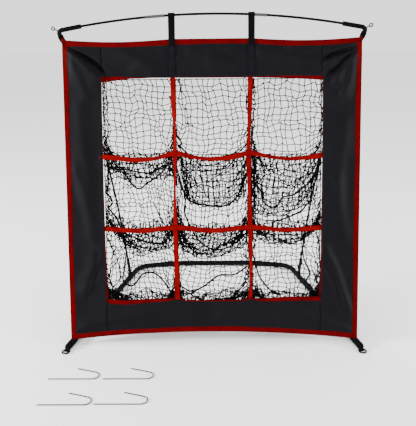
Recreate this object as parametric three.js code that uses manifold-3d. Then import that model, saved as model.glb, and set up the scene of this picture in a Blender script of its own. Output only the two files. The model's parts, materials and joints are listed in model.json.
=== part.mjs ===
// A nine-pocket practice net: a fabric target sheet and its net pockets, stretched by a fibreglass bow frame
// that stands on a U-shaped steel floor base. Millimetres, +X to the right, +Y to the back, +Z up.

import * as THREE from "three";
import { mergeVertices } from "three/addons/utils/BufferGeometryUtils.js";
import Module from "manifold-3d";

const wasm = await Module();
wasm.setup();

const SIDES = [
  { name: "left", sign: -1 },
  { name: "right", sign: 1 },
];
const GAP = 0.3; // clearance between touching pieces
const degrees = THREE.MathUtils.degToRad;

// ---------------------------------------------------------------- driving dimensions

const SHEET_WIDTH = 1220;
const SHEET_HEIGHT = 1254;
const SHEET_LEAN = degrees(13.2); // the sheet leans back
const SHEET_LIFT = 30; // height of its lower corners, which rest on the legs
const SHEET_FRONT = -15; // where its lower corners are
const BOTTOM_EDGE_RISE = 34; // the lower edge is hollow: its middle is higher than its corners
const TOP_EDGE_DIP = 10; // the upper edge dips between corner and strap
const SIDE_BAND = 155; // sheet edge to opening, at the sides and the top
const BOTTOM_BAND = 168;
const OUTER_BINDING = 22; // width of the tape on the outer edge
const INNER_BINDING = 20; // width of the tape round the opening
const FABRIC = 1.5;
const TAPE = 3;

const WEBBING_WIDTH = 20;
const WEBBING = 1.6; // thickness of every webbing strap
const VERTICAL_WEBBING_X = 155;
const WEBBING_HEIGHTS = { upper: 781, lower: 476 }; // along the sheet, from its lower corners
const STRAP_X = 162;
const STRAP_WIDTH = 25;
const STRAP_EASE = 1.5; // room round the sloping bow

const BASE_TUBE = 12.5; // radii of the floor base's steel tube
const BASE_BORE = 11;
const BELL = 14; // radius of a swaged tube end
const BELL_LENGTH = 75;
const PLUG_DEPTH = 60; // how far one tube goes into the next
const BASE_HEIGHT = BELL; // the bells stand on the floor
const LEG_X = 606; // a leg's centre line at Y = 0
const LEG_SPLAY = 0.25; // how far a leg runs inwards for each unit backwards
const LEG_FRONT = -52; // along the leg
const LEG_JOINT = 220;
const REAR_BAR_Y = 825;
const REAR_JOINT_X = 225;
const REAR_SWEEP = 0.17; // the rear bar's ends run forwards by this much for each unit outwards
const REAR_KINK_X = 190; // where the rear cross tube bends to follow them
const BASE_BEND = 90;

const SOCKET_Y = 652;
const SOCKET_TUBE = 8;
const SOCKET_TOP = 96; // up the pole from the leg's centre line
const ROD = 5; // radius of the fibreglass rods
const ROD_FIT = 0.6;
const FERRULE = 6.2;
const FERRULE_LENGTH = 77;

const BOW_TOP = 1352; // along the sheet
const BOW_DROP = 1.57e-4; // the bow is a parabola: its fall for each square millimetre from the middle
const ELBOW_START_X = 530;
const ELBOW_CORNER_X = 625;
const ELBOW = 9.3;
const ELBOW_BEND = 18;
const ELBOW_ARM = 62; // length of the arm that takes the side pole
const TOP_FERRULES_X = { left: -229, right: 186 };
const POLE_CONTROL = new THREE.Vector3(525, 727, 772); // the side pole's curve is pulled towards this point
const POLE_FERRULE_AT = 0.52; // share of the side pole's length

const EYE = 5.2; // wire eye on an elbow
const EYE_WIRE = 1.3;

const FOOT_FRONT = -70; // front end of the webbing foot, along the leg
const FOOT_BACK = 16;
const FOOT_WIDTH = 28;
const FOOT_TAB_HEIGHT = 8.4;
const RING_WIRE = 2.1;
const RING_BAR = -63; // where the ring's straight bar lies, along the leg
const RING_HALF_WIDTH = 16.5;

const POCKET_WALL = 3;
const POCKET_MARGIN = 5; // cell edge to pocket mouth
const POCKET_DEPTH = 300;
const POCKET_DROP = 150; // how far the back of a pocket hangs below its mouth
const LOW_POCKET_DEPTH = 262; // the bottom row ends above the floor
const LOW_POCKET_DROP = 108;

const STAKE_WIRE = 2;
const STAKE_LEG = 173;
const STAKE_BEND = 24;
const STAKE_TURN = degrees(162);
const STAKE_RETURN = 80;
const STAKES = [
  { x: -477, y: -264 },
  { x: -262, y: -264 },
  { x: -477, y: -428 },
  { x: -268, y: -424 },
];

const HALF_WIDTH = SHEET_WIDTH / 2;
const OPENING_X = HALF_WIDTH - SIDE_BAND;
const OPENING_TOP = SHEET_HEIGHT - SIDE_BAND;
const OPENING_BOTTOM = BOTTOM_BAND;

// ---------------------------------------------------------------- materials

function finish(color, roughness, metalness = 0) {
  return new THREE.MeshStandardMaterial({ color, roughness, metalness });
}
const BLACK_FABRIC = finish(0x26262b, 0.75);
const RED_TAPE = finish(0xa00c10, 0.7);
const RED_WEBBING = finish(0xc80a0a, 0.7);
const BLACK_WEBBING = finish(0x17171a, 0.8);
const NETTING = finish(0x101012, 0.85);
const BLACK_STEEL = finish(0x1e1c21, 0.45, 0.3);
const FIBREGLASS = finish(0x141416, 0.35);
const BLACK_RUBBER = finish(0x1a1a1c, 0.65);
const FERRULE_METAL = finish(0x9a9a98, 0.35, 0.9);
const STAKE_METAL = finish(0x8a8a8c, 0.4, 0.9);

// ---------------------------------------------------------------- solids

// A chain of straight stretches between chosen points, with a section at each point.
class StationCurve extends THREE.Curve {
  constructor(stations) {
    super();
    this.stations = stations;
  }
  getSpacedPoints() {
    return this.stations;
  }
  getTangentAt(u, target = new THREE.Vector3()) {
    const last = this.stations.length - 1;
    const i = Math.round(u * last);
    const here = this.stations[i];
    const before = here.clone().sub(this.stations[Math.max(i - 1, 0)]).normalize();
    const after = this.stations[Math.min(i + 1, last)].clone().sub(here).normalize();
    return target.copy(before).add(after).normalize();
  }
}

// A regular polygon with a flat side down.
function polygon(radius, sides) {
  const points = [];
  for (let i = 0; i < sides; i++) {
    const angle = ((i + 0.5) / sides) * 2 * Math.PI;
    points.push(new THREE.Vector2(radius * Math.cos(angle), radius * Math.sin(angle)));
  }
  return points;
}

// A round bar along stations. Its flats, not its corners, are at the given radius when acrossFlats is set.
function bar(stations, radius, sides = 10, acrossFlats = false) {
  const corner = acrossFlats ? radius / Math.cos(Math.PI / sides) : radius;
  return new THREE.ExtrudeGeometry(new THREE.Shape(polygon(corner, sides)), {
    steps: stations.length - 1,
    extrudePath: new StationCurve(stations),
  });
}

function solidOf(geometry) {
  const bare = geometry.index ? geometry.toNonIndexed() : geometry.clone();
  bare.deleteAttribute("normal");
  bare.deleteAttribute("uv");
  const merged = mergeVertices(bare, 1e-3);
  const vertProperties = merged.attributes.position.array;
  const triVerts = new Uint32Array(merged.index.array);
  return new wasm.Manifold(new wasm.Mesh({ numProp: 3, vertProperties, triVerts }));
}

function geometryOf(solid) {
  const mesh = solid.getMesh();
  const geometry = new THREE.BufferGeometry();
  geometry.setAttribute("position", new THREE.BufferAttribute(mesh.vertProperties, 3));
  geometry.setIndex(new THREE.BufferAttribute(mesh.triVerts, 1));
  geometry.computeVertexNormals();
  return geometry;
}

function join(...geometries) {
  return geometryOf(geometries.map(solidOf).reduce((whole, next) => whole.add(next)));
}

function cut(geometry, ...tools) {
  return geometryOf(tools.map(solidOf).reduce((whole, tool) => whole.subtract(tool), solidOf(geometry)));
}

// A box between two corners.
function box(low, high) {
  const size = high.map((value, axis) => value - low[axis]);
  const middle = high.map((value, axis) => (value + low[axis]) / 2);
  return new THREE.BoxGeometry(...size).translate(...middle);
}

// A flat outline in X and Z, extruded along Y from one depth to another.
function plate(outline, holes, yFrom, yTo) {
  const shape = new THREE.Shape(outline);
  for (const hole of holes) shape.holes.push(new THREE.Path(hole));
  const geometry = new THREE.ExtrudeGeometry(shape, { depth: yTo - yFrom, bevelEnabled: false });
  return geometry.rotateX(Math.PI / 2).translate(0, yTo, 0);
}

// A strip of webbing seen edge-on: the outline of a chain of points made one thickness wide.
function ribbonOutline(points, thickness) {
  const front = [];
  const back = [];
  points.forEach((point, i) => {
    const before = points[Math.max(i - 1, 0)];
    const after = points[Math.min(i + 1, points.length - 1)];
    const along = after.clone().sub(before).normalize();
    const across = new THREE.Vector2(-along.y, along.x).multiplyScalar(thickness / 2);
    front.push(point.clone().add(across));
    back.unshift(point.clone().sub(across));
  });
  return [...front, ...back];
}

// Stations along straight lines between corners, with each inner corner rounded.
function roundedRoute(corners, radius, steps) {
  const stations = [corners[0]];
  for (let i = 1; i < corners.length - 1; i++) {
    const inward = corners[i].clone().sub(corners[i - 1]).normalize();
    const outward = corners[i + 1].clone().sub(corners[i]).normalize();
    const turn = inward.angleTo(outward);
    const start = corners[i].clone().addScaledVector(inward, -radius * Math.tan(turn / 2));
    const side = outward.clone().addScaledVector(inward, -Math.cos(turn)).normalize();
    for (let k = 0; k <= steps; k++) {
      const angle = (turn * k) / steps;
      const station = start.clone().addScaledVector(inward, radius * Math.sin(angle));
      stations.push(station.addScaledVector(side, radius * (1 - Math.cos(angle))));
    }
  }
  return [...stations, corners[corners.length - 1]];
}

function add(group, name, geometry, material) {
  const mesh = new THREE.Mesh(geometry, material);
  mesh.name = name;
  group.add(mesh);
}

// ---------------------------------------------------------------- places

const net = new THREE.Group();

// Everything on the leaning sheet is placed across it (x), behind it (y) and up it (z).
const sheet = new THREE.Group();
sheet.position.set(0, SHEET_FRONT, SHEET_LIFT);
sheet.rotation.x = -SHEET_LEAN;
sheet.updateMatrix();
net.add(sheet);

function fromSheet(x, y, z) {
  return new THREE.Vector3(x, y, z).applyMatrix4(sheet.matrix);
}

function bowHeight(x) {
  return BOW_TOP - BOW_DROP * x * x;
}

// A leg's own frame: y along the leg, backwards positive.
function legGroup(sign) {
  const group = new THREE.Group();
  group.position.set(sign * LEG_X, 0, 0);
  group.rotation.z = sign * Math.atan(LEG_SPLAY);
  group.updateMatrix();
  net.add(group);
  return group;
}
const legs = { left: legGroup(-1), right: legGroup(1) };

function legPoint(side, along) {
  return new THREE.Vector3(0, along, BASE_HEIGHT).applyMatrix4(legs[side.name].matrix);
}

function poleCurve(side) {
  const foot = new THREE.Vector3(side.sign * (LEG_X - LEG_SPLAY * SOCKET_Y), SOCKET_Y, BASE_HEIGHT);
  const pull = POLE_CONTROL.clone().setX(side.sign * POLE_CONTROL.x);
  const corner = fromSheet(side.sign * ELBOW_CORNER_X, 0, bowHeight(ELBOW_CORNER_X));
  return new THREE.QuadraticBezierCurve3(foot, pull, corner);
}

// Stations on a curve between two distances along it.
function stretch(curve, from, to, steps) {
  const length = curve.getLength();
  const stations = [];
  for (let i = 0; i <= steps; i++) {
    const distance = from + ((to - from) * i) / steps;
    stations.push(curve.getPointAt(distance / length));
  }
  return stations;
}

// ---------------------------------------------------------------- floor base

// A point on the rear bar, which sweeps forwards towards its ends.
function rearPoint(x) {
  const out = Math.max(Math.abs(x) - REAR_KINK_X, 0);
  return new THREE.Vector3(x, REAR_BAR_Y - REAR_SWEEP * out, BASE_HEIGHT);
}

// Where a leg's line and the rear bar's line would meet, if the bend between them were sharp.
function sharpCorner(side) {
  const outermost = LEG_X - LEG_SPLAY * (REAR_BAR_Y + REAR_SWEEP * REAR_KINK_X);
  return rearPoint((side.sign * outermost) / (1 - LEG_SPLAY * REAR_SWEEP));
}

function cornerTube(side) {
  const mouth = rearPoint(side.sign * REAR_JOINT_X);
  const bend = sharpCorner(side);
  const front = legPoint(side, LEG_JOINT);
  const route = roundedRoute([mouth, bend, front], BASE_BEND, 6);
  const rearward = bend.clone().sub(mouth).normalize();
  const legward = bend.clone().sub(front).normalize();
  const bells = [
    { end: mouth, inward: rearward },
    { end: front, inward: legward },
  ];
  const bellBars = bells.map(({ end, inward }) =>
    bar([end, end.clone().addScaledVector(inward, BELL_LENGTH)], BELL, 12, true),
  );
  const bellBores = bells.map(({ end, inward }) =>
    bar(
      [end.clone().addScaledVector(inward, -1), end.clone().addScaledVector(inward, PLUG_DEPTH)],
      BASE_TUBE + GAP,
      12,
      true,
    ),
  );
  const ends = [route[0].clone().addScaledVector(rearward, -1), ...route.slice(1, -1)];
  const bore = bar([...ends, front.clone().addScaledVector(legward, -1)], BASE_BORE, 12, true);
  return cut(join(bar(route, BASE_TUBE, 12, true), ...bellBars), bore, ...bellBores);
}

// A base tube along stations, open at both ends.
function openTube(stations) {
  const first = stations[0];
  const last = stations[stations.length - 1];
  const before = first.clone().sub(stations[1]).normalize().add(first);
  const after = last.clone().sub(stations[stations.length - 2]).normalize().add(last);
  const bore = bar([before, ...stations.slice(1, -1), after], BASE_BORE, 12, true);
  return cut(bar(stations, BASE_TUBE, 12, true), bore);
}

// A spring button: a domed pin in a hole through both tubes.
const BUTTON = 2.6;
const BUTTON_RISE = 2.6;

function buttonHole(x, y, low, high) {
  return new THREE.CylinderGeometry(BUTTON + GAP, BUTTON + GAP, high - low, 12)
    .rotateX(Math.PI / 2)
    .translate(x, y, (low + high) / 2);
}

function domedPin(length) {
  const profile = [
    new THREE.Vector2(0, 0),
    new THREE.Vector2(BUTTON, 0),
    new THREE.Vector2(BUTTON, length - BUTTON_RISE / 2),
    new THREE.Vector2(BUTTON * 0.7, length - BUTTON_RISE / 8),
    new THREE.Vector2(0, length),
  ];
  return new THREE.LatheGeometry(profile, 12).rotateX(Math.PI / 2);
}

const COUPLING_BUTTON_IN = 30; // from a bell's mouth
const COUPLING_PIN = 9;

function couplingPlace(side, end) {
  if (end === "rear") {
    return rearPoint(side.sign * (REAR_JOINT_X + COUPLING_BUTTON_IN));
  }
  return legPoint(side, LEG_JOINT + COUPLING_BUTTON_IN);
}

function addBase() {
  const hole = (side, end) => {
    const place = couplingPlace(side, end);
    return buttonHole(place.x, place.y, BASE_HEIGHT, 2 * BELL + 5);
  };
  for (const side of SIDES) {
    const corner = cut(cornerTube(side), hole(side, "rear"), hole(side, "leg"));
    add(net, `base_corner_tube_${side.name}`, corner, BLACK_STEEL);
    const leg = openTube([legPoint(side, LEG_FRONT), legPoint(side, LEG_JOINT + PLUG_DEPTH - 2)]);
    add(net, `base_leg_${side.name}`, cut(leg, hole(side, "leg")), BLACK_STEEL);
    for (const end of ["rear", "leg"]) {
      const place = couplingPlace(side, end);
      const pinFoot = BASE_HEIGHT + BELL + BUTTON_RISE - COUPLING_PIN;
      const pin = domedPin(COUPLING_PIN).translate(place.x, place.y, pinFoot);
      add(net, `${end}_coupling_button_${side.name}`, pin, STAKE_METAL);
    }
  }
  const end = REAR_JOINT_X + PLUG_DEPTH - 3;
  const stations = [-end, -REAR_KINK_X, REAR_KINK_X, end].map(rearPoint);
  const holes = SIDES.map((side) => hole(side, "rear"));
  add(net, "rear_cross_tube", cut(openTube(stations), ...holes), BLACK_STEEL);
}

// ---------------------------------------------------------------- poles, elbows and bow

const SOCKET_FLARE = 12;
const SOCKET_KNOB_HEIGHT = 78; // up the pole
const POLE_START = 22;
const POLE_STEPS = 12;

function knobFrame(side) {
  const curve = poleCurve(side);
  const u = SOCKET_KNOB_HEIGHT / curve.getLength();
  const up = curve.getTangentAt(u);
  const outward = new THREE.Vector3(side.sign, 0, 0);
  outward.addScaledVector(up, -outward.dot(up)).normalize();
  return { centre: curve.getPointAt(u), outward };
}

function alongDirection(geometry, direction) {
  const turn = new THREE.Quaternion().setFromUnitVectors(new THREE.Vector3(0, 0, 1), direction);
  return geometry.applyQuaternion(turn);
}

function poleSocket(side) {
  const curve = poleCurve(side);
  const up = curve.getTangentAt(0.03);
  const profile = [
    new THREE.Vector2(0, 4),
    new THREE.Vector2(SOCKET_FLARE, 4),
    new THREE.Vector2(SOCKET_FLARE - 1, 16),
    new THREE.Vector2(SOCKET_TUBE, 26),
    new THREE.Vector2(SOCKET_TUBE, SOCKET_TOP),
    new THREE.Vector2(0, SOCKET_TOP),
  ];
  const foot = curve.getPointAt(0);
  const stub = alongDirection(new THREE.LatheGeometry(profile, 12).rotateX(Math.PI / 2), up);
  stub.translate(foot.x, foot.y, foot.z);
  const bore = bar(stretch(curve, POLE_START - 1, SOCKET_TOP + 20, 3), ROD + ROD_FIT, 10);
  const legStretch = [legPoint(side, LEG_JOINT + BELL_LENGTH + 5), legPoint(side, SOCKET_Y + 68)];
  const leg = bar(legStretch, BASE_TUBE + GAP, 12, true);
  return cut(stub, bore, leg, knobHole(side));
}

// The button's way in: through the socket's wall and into the pole, which it locks.
const KNOB_REACH = 2.4; // from the pole's centre line

function knobHole(side) {
  const { centre, outward } = knobFrame(side);
  const length = 20;
  const hole = new THREE.CylinderGeometry(BUTTON + GAP, BUTTON + GAP, length, 12).rotateX(Math.PI / 2);
  const middle = centre.addScaledVector(outward, KNOB_REACH + length / 2);
  return alongDirection(hole, outward).translate(...middle.toArray());
}

function socketButton(side) {
  const { centre, outward } = knobFrame(side);
  const inner = ROD + ROD_FIT + GAP;
  const pin = alongDirection(domedPin(SOCKET_TUBE + BUTTON_RISE - inner), outward);
  return pin.translate(...centre.addScaledVector(outward, inner).toArray());
}

function elbowRoute(side) {
  const start = fromSheet(side.sign * ELBOW_START_X, 0, bowHeight(ELBOW_START_X));
  const corner = fromSheet(side.sign * ELBOW_CORNER_X, 0, bowHeight(ELBOW_CORNER_X));
  const curve = poleCurve(side);
  const end = curve.getPointAt(1 - ELBOW_ARM / curve.getLength());
  return { start, corner, end };
}

function eyePlace(side) {
  const { corner } = elbowRoute(side);
  const outward = new THREE.Vector3(side.sign * 20, 0, 10).normalize();
  return { centre: corner.clone().addScaledVector(outward, 21), outward };
}

function cornerElbow(side) {
  const { start, corner, end } = elbowRoute(side);
  const body = bar(roundedRoute([start, corner, end], ELBOW_BEND, 6), ELBOW, 14);
  const topward = corner.clone().sub(start).normalize();
  const armward = corner.clone().sub(end).normalize();
  const topBore = [start.clone().addScaledVector(topward, -1), start.clone().addScaledVector(topward, 58)];
  const armBore = [end.clone().addScaledVector(armward, -1), end.clone().addScaledVector(armward, 38)];
  const eye = eyePlace(side);
  const stem = [eye.centre, eye.centre.clone().addScaledVector(eye.outward, -18)];
  return cut(body, bar(topBore, ROD + 1.3, 10), bar(armBore, ROD + 1.3, 10), bar(stem, EYE_WIRE + GAP, 8));
}

function elbowEye(side) {
  const { centre, outward } = eyePlace(side);
  const ring = new THREE.TorusGeometry(EYE, EYE_WIRE, 6, 14).rotateX(Math.PI / 2);
  ring.translate(centre.x, centre.y, centre.z);
  const near = centre.clone().addScaledVector(outward, -EYE);
  const stem = bar([near, centre.clone().addScaledVector(outward, -17)], EYE_WIRE, 6);
  return join(ring, stem);
}

function ferrule(curve, middle) {
  const half = FERRULE_LENGTH / 2;
  const outer = bar(stretch(curve, middle - half, middle + half, 2), FERRULE, 12);
  return cut(outer, bar(stretch(curve, middle - half - 2, middle + half + 2, 2), ROD + ROD_FIT, 10));
}

function addSidePoles() {
  for (const side of SIDES) {
    const curve = poleCurve(side);
    const length = curve.getLength();
    const joint = length * POLE_FERRULE_AT;
    const lower = stretch(curve, POLE_START, joint - GAP, POLE_STEPS);
    const upper = stretch(curve, joint + GAP, length - ELBOW_ARM + 34, POLE_STEPS);
    add(net, `pole_socket_${side.name}`, poleSocket(side), BLACK_STEEL);
    add(net, `socket_button_${side.name}`, socketButton(side), STAKE_METAL);
    add(net, `side_pole_lower_${side.name}`, cut(bar(lower, ROD), knobHole(side)), FIBREGLASS);
    add(net, `side_pole_upper_${side.name}`, bar(upper, ROD), FIBREGLASS);
    add(net, `side_ferrule_${side.name}`, ferrule(curve, joint), FERRULE_METAL);
    add(net, `corner_elbow_${side.name}`, cornerElbow(side), BLACK_RUBBER);
    add(net, `elbow_eye_${side.name}`, elbowEye(side), STAKE_METAL);
  }
}

// The bow lies in the sheet's own plane.
function bowStations(from, to, steps) {
  const stations = [];
  for (let i = 0; i <= steps; i++) {
    const x = from + ((to - from) * i) / steps;
    stations.push(new THREE.Vector3(x, 0, bowHeight(x)));
  }
  return stations;
}

function addBow() {
  const reach = ELBOW_START_X + 54;
  const rods = [
    { name: "left", from: -reach, to: TOP_FERRULES_X.left - GAP },
    { name: "middle", from: TOP_FERRULES_X.left + GAP, to: TOP_FERRULES_X.right - GAP },
    { name: "right", from: TOP_FERRULES_X.right + GAP, to: reach },
  ];
  for (const { name, from, to } of rods) {
    add(sheet, `top_rod_${name}`, bar(bowStations(from, to, 10), ROD), FIBREGLASS);
  }
  for (const side of SIDES) {
    const x = TOP_FERRULES_X[side.name];
    const half = FERRULE_LENGTH / 2;
    const outer = bar(bowStations(x - half, x + half, 2), FERRULE, 12);
    const bore = bar(bowStations(x - half - 2, x + half + 2, 2), ROD + ROD_FIT, 10);
    add(sheet, `top_ferrule_${side.name}`, cut(outer, bore), FERRULE_METAL);
  }
}

// ---------------------------------------------------------------- sheet

const EDGE_STATIONS = [0, 80, STRAP_X, 240, 320, 400, OPENING_X, 530];

function lowerEdge(x) {
  const share = x / HALF_WIDTH;
  return BOTTOM_EDGE_RISE * (1 - share * share);
}

function upperEdge(x) {
  const out = Math.abs(x) - STRAP_X;
  if (out < 0) return SHEET_HEIGHT;
  return SHEET_HEIGHT - TOP_EDGE_DIP * Math.sin((Math.PI * out) / (HALF_WIDTH - STRAP_X));
}

// Points on an edge from one x to another, in order from left to right.
function edgePoints(height, from, to, shift) {
  const inner = [...EDGE_STATIONS.map((x) => -x), ...EDGE_STATIONS.slice(1)];
  const chosen = inner.filter((x) => x > from + 1 && x < to - 1).sort((a, b) => a - b);
  return [from, ...chosen, to].map((x) => new THREE.Vector2(x, height(x) + shift));
}

function sheetOutline(inset) {
  const reach = HALF_WIDTH - inset;
  const lower = edgePoints(lowerEdge, -reach, reach, inset);
  const upper = edgePoints(upperEdge, -reach, reach, -inset);
  return [...lower, ...upper.reverse()];
}

function openingOutline(outset) {
  const x = OPENING_X + outset;
  const low = OPENING_BOTTOM - outset;
  const high = OPENING_TOP + outset;
  return [
    new THREE.Vector2(-x, low),
    new THREE.Vector2(x, low),
    new THREE.Vector2(x, high),
    new THREE.Vector2(-x, high),
  ];
}

// A side panel runs the full height and steps round the opening's tape.
function sidePanelOutline(side) {
  const seam = side.sign * (OPENING_X + GAP / 2);
  const tape = side.sign * (OPENING_X + INNER_BINDING + GAP);
  const edge = side.sign * (HALF_WIDTH - OUTER_BINDING - GAP);
  const [from, to] = side.sign > 0 ? [seam, edge] : [edge, seam];
  const lower = edgePoints(lowerEdge, from, to, OUTER_BINDING + GAP);
  const upper = edgePoints(upperEdge, from, to, -OUTER_BINDING - GAP);
  const low = OPENING_BOTTOM - INNER_BINDING - GAP;
  const high = OPENING_TOP + INNER_BINDING + GAP;
  const notch = [
    new THREE.Vector2(seam, low),
    new THREE.Vector2(tape, low),
    new THREE.Vector2(tape, high),
    new THREE.Vector2(seam, high),
  ];
  if (side.sign > 0) return [...lower, ...upper.reverse(), ...notch.reverse()];
  return [...lower, ...notch, ...upper.reverse()];
}

function addPanels() {
  for (const side of SIDES) {
    const panel = plate(sidePanelOutline(side), [], -FABRIC / 2, FABRIC / 2);
    add(sheet, `side_panel_${side.name}`, panel, BLACK_FABRIC);
  }
  const reach = OPENING_X - GAP / 2;
  const low = OPENING_BOTTOM - INNER_BINDING - GAP;
  const high = OPENING_TOP + INNER_BINDING + GAP;
  const top = edgePoints(upperEdge, -reach, reach, -OUTER_BINDING - GAP).reverse();
  const bottom = edgePoints(lowerEdge, -reach, reach, OUTER_BINDING + GAP);
  const topOutline = [new THREE.Vector2(-reach, high), new THREE.Vector2(reach, high), ...top];
  const bottomOutline = [...bottom, new THREE.Vector2(reach, low), new THREE.Vector2(-reach, low)];
  add(sheet, "top_panel", plate(topOutline, [], -FABRIC / 2, FABRIC / 2), BLACK_FABRIC);
  add(sheet, "bottom_panel", plate(bottomOutline, [], -FABRIC / 2, FABRIC / 2), BLACK_FABRIC);
}

function addBindings() {
  const outer = plate(sheetOutline(0), [sheetOutline(OUTER_BINDING).reverse()], -TAPE / 2, TAPE / 2);
  const inner = plate(openingOutline(INNER_BINDING), [openingOutline(0).reverse()], -TAPE / 2, TAPE / 2);
  add(sheet, "outer_binding", outer, RED_TAPE);
  add(sheet, "inner_binding", inner, RED_TAPE);
}

// Webbing lies in front of the sheet: the verticals first, then the horizontals over them.
const VERTICAL_FRONT = -TAPE / 2 - GAP;
const HORIZONTAL_FRONT = VERTICAL_FRONT - WEBBING - GAP;
const WEBBING_OVERLAP = 14; // how far an end runs over the opening's tape

function addWebbingGrid() {
  const half = WEBBING_WIDTH / 2;
  const low = OPENING_BOTTOM - WEBBING_OVERLAP;
  const high = OPENING_TOP + WEBBING_OVERLAP;
  for (const side of SIDES) {
    const x = side.sign * VERTICAL_WEBBING_X;
    const strip = box([x - half, VERTICAL_FRONT - WEBBING, low], [x + half, VERTICAL_FRONT, high]);
    add(sheet, `vertical_webbing_${side.name}`, strip, RED_WEBBING);
  }
  const reach = OPENING_X + WEBBING_OVERLAP;
  for (const [name, z] of Object.entries(WEBBING_HEIGHTS)) {
    const strip = box([-reach, HORIZONTAL_FRONT - WEBBING, z - half], [reach, HORIZONTAL_FRONT, z + half]);
    add(sheet, `horizontal_webbing_${name}`, strip, RED_WEBBING);
  }
}

// A strap is sewn down the top panel, goes up in front, over the bow and down behind the sheet.
function addHangingStraps() {
  const bow = bowHeight(STRAP_X);
  const front = TAPE / 2 + GAP + WEBBING / 2;
  const wrap = FERRULE + STRAP_EASE + WEBBING / 2; // the right-hand strap passes over a ferrule
  const points = [
    new THREE.Vector2(-front, OPENING_TOP + INNER_BINDING + 4),
    new THREE.Vector2(-front, SHEET_HEIGHT + 4),
    new THREE.Vector2(-wrap, bow - 12),
  ];
  for (let i = 0; i <= 8; i++) {
    const angle = Math.PI * (1 - i / 8);
    points.push(new THREE.Vector2(wrap * Math.cos(angle), bow + wrap * Math.sin(angle)));
  }
  points.push(new THREE.Vector2(wrap, bow - 12));
  points.push(new THREE.Vector2(front, SHEET_HEIGHT + 4));
  points.push(new THREE.Vector2(front, SHEET_HEIGHT - 45));
  const outline = new THREE.Shape(ribbonOutline(points, WEBBING));
  for (const side of SIDES) {
    const strap = new THREE.ExtrudeGeometry(outline, { depth: STRAP_WIDTH, bevelEnabled: false });
    strap.rotateX(Math.PI / 2).rotateZ(Math.PI / 2);
    strap.translate(side.sign * STRAP_X - STRAP_WIDTH / 2, 0, 0);
    add(sheet, `hanging_strap_${side.name}`, strap, BLACK_WEBBING);
  }
}

// A webbing loop round an elbow's arm, with a tab forward to the back of the sheet's top corner.
const LOOP_DOWN_ARM = 40; // from the elbow's corner
const LOOP_WIDTH = 24;
const LOOP_INNER = ELBOW + 2 * GAP;

function cornerLoop(side) {
  const { corner, end } = elbowRoute(side);
  const down = end.clone().sub(corner).normalize();
  const middle = corner.clone().addScaledVector(down, LOOP_DOWN_ARM);
  const forward = new THREE.Vector3(0, -1, 0);
  forward.addScaledVector(down, -forward.dot(down)).normalize();
  const across = forward.clone().cross(down);
  const place = new THREE.Matrix4().makeBasis(across, forward, down).setPosition(middle);
  const outer = LOOP_INNER + WEBBING;
  const half = LOOP_WIDTH / 2;
  const inward = Math.sign(across.x) * -side.sign;
  const tabMiddle = inward * (LOOP_INNER + WEBBING / 2 - 0.2);
  const tab = box([tabMiddle - WEBBING / 2, 0, -half], [tabMiddle + WEBBING / 2, 80, half]);
  const band = new THREE.CylinderGeometry(outer, outer, LOOP_WIDTH, 20).rotateX(Math.PI / 2);
  const hole = new THREE.CylinderGeometry(LOOP_INNER, LOOP_INNER, LOOP_WIDTH + 4, 20).rotateX(Math.PI / 2);
  const loop = cut(join(band, tab), hole).applyMatrix4(place);
  const front = TAPE / 2 + GAP;
  const inFront = box([-800, front - 200, 900], [800, front, 1500]).applyMatrix4(sheet.matrix);
  return cut(loop, inFront);
}

function addCornerLoops() {
  for (const side of SIDES) add(net, `corner_loop_${side.name}`, cornerLoop(side), BLACK_WEBBING);
}

// ---------------------------------------------------------------- net pockets

const ROWS = [
  { name: "top", low: WEBBING_HEIGHTS.upper, high: OPENING_TOP },
  { name: "middle", low: WEBBING_HEIGHTS.lower, high: WEBBING_HEIGHTS.upper },
  { name: "bottom", low: OPENING_BOTTOM, high: WEBBING_HEIGHTS.lower },
];
const COLUMNS = [
  { name: "left", low: -OPENING_X, high: -VERTICAL_WEBBING_X },
  { name: "centre", low: -VERTICAL_WEBBING_X, high: VERTICAL_WEBBING_X },
  { name: "right", low: VERTICAL_WEBBING_X, high: OPENING_X },
];

// A box that leans back and down: a rectangle at the mouth and one at the back, each [x, x, z, z].
function hopper(front, back, yFront, yBack) {
  const corners = [];
  for (const [rectangle, y] of [
    [front, yFront],
    [back, yBack],
  ]) {
    const [left, right, low, high] = rectangle;
    corners.push([left, y, low], [right, y, low], [right, y, high], [left, y, high]);
  }
  const quads = [
    [0, 1, 2, 3],
    [5, 4, 7, 6],
    [0, 4, 5, 1],
    [3, 2, 6, 7],
    [4, 0, 3, 7],
    [1, 5, 6, 2],
  ];
  const positions = [];
  for (const [a, b, c, d] of quads) {
    for (const i of [a, b, c, a, c, d]) positions.push(...corners[i]);
  }
  const geometry = new THREE.BufferGeometry();
  geometry.setAttribute("position", new THREE.Float32BufferAttribute(positions, 3));
  return geometry;
}

function pocket(row, column) {
  const left = column.low + POCKET_MARGIN;
  const right = column.high - POCKET_MARGIN;
  const low = row.low + 2 * POCKET_MARGIN;
  const high = row.high - 2 * POCKET_MARGIN;
  const isLow = row.name === "bottom";
  const depth = isLow ? LOW_POCKET_DEPTH : POCKET_DEPTH;
  const slope = POCKET_DROP / POCKET_DEPTH;
  const backLow = low - (isLow ? LOW_POCKET_DROP : slope * depth);
  const backHigh = high - slope * depth;
  const wall = POCKET_WALL;
  const mouth = 1;
  const outer = hopper([left, right, low, high], [left, right, backLow, backHigh], mouth, depth);
  const inFront = (edge, back) => edge - ((back - edge) * 5) / depth;
  const inner = hopper(
    [left + wall, right - wall, inFront(low, backLow) + wall, inFront(high, backHigh) - wall],
    [left + wall, right - wall, backLow + wall, backHigh - wall],
    mouth - 5,
    depth - wall,
  );
  return cut(outer, inner);
}

function addPockets() {
  for (const row of ROWS) {
    for (const column of COLUMNS) {
      add(sheet, `net_pocket_${row.name}_${column.name}`, pocket(row, column), NETTING);
    }
  }
}

// ---------------------------------------------------------------- feet and stakes

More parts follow.
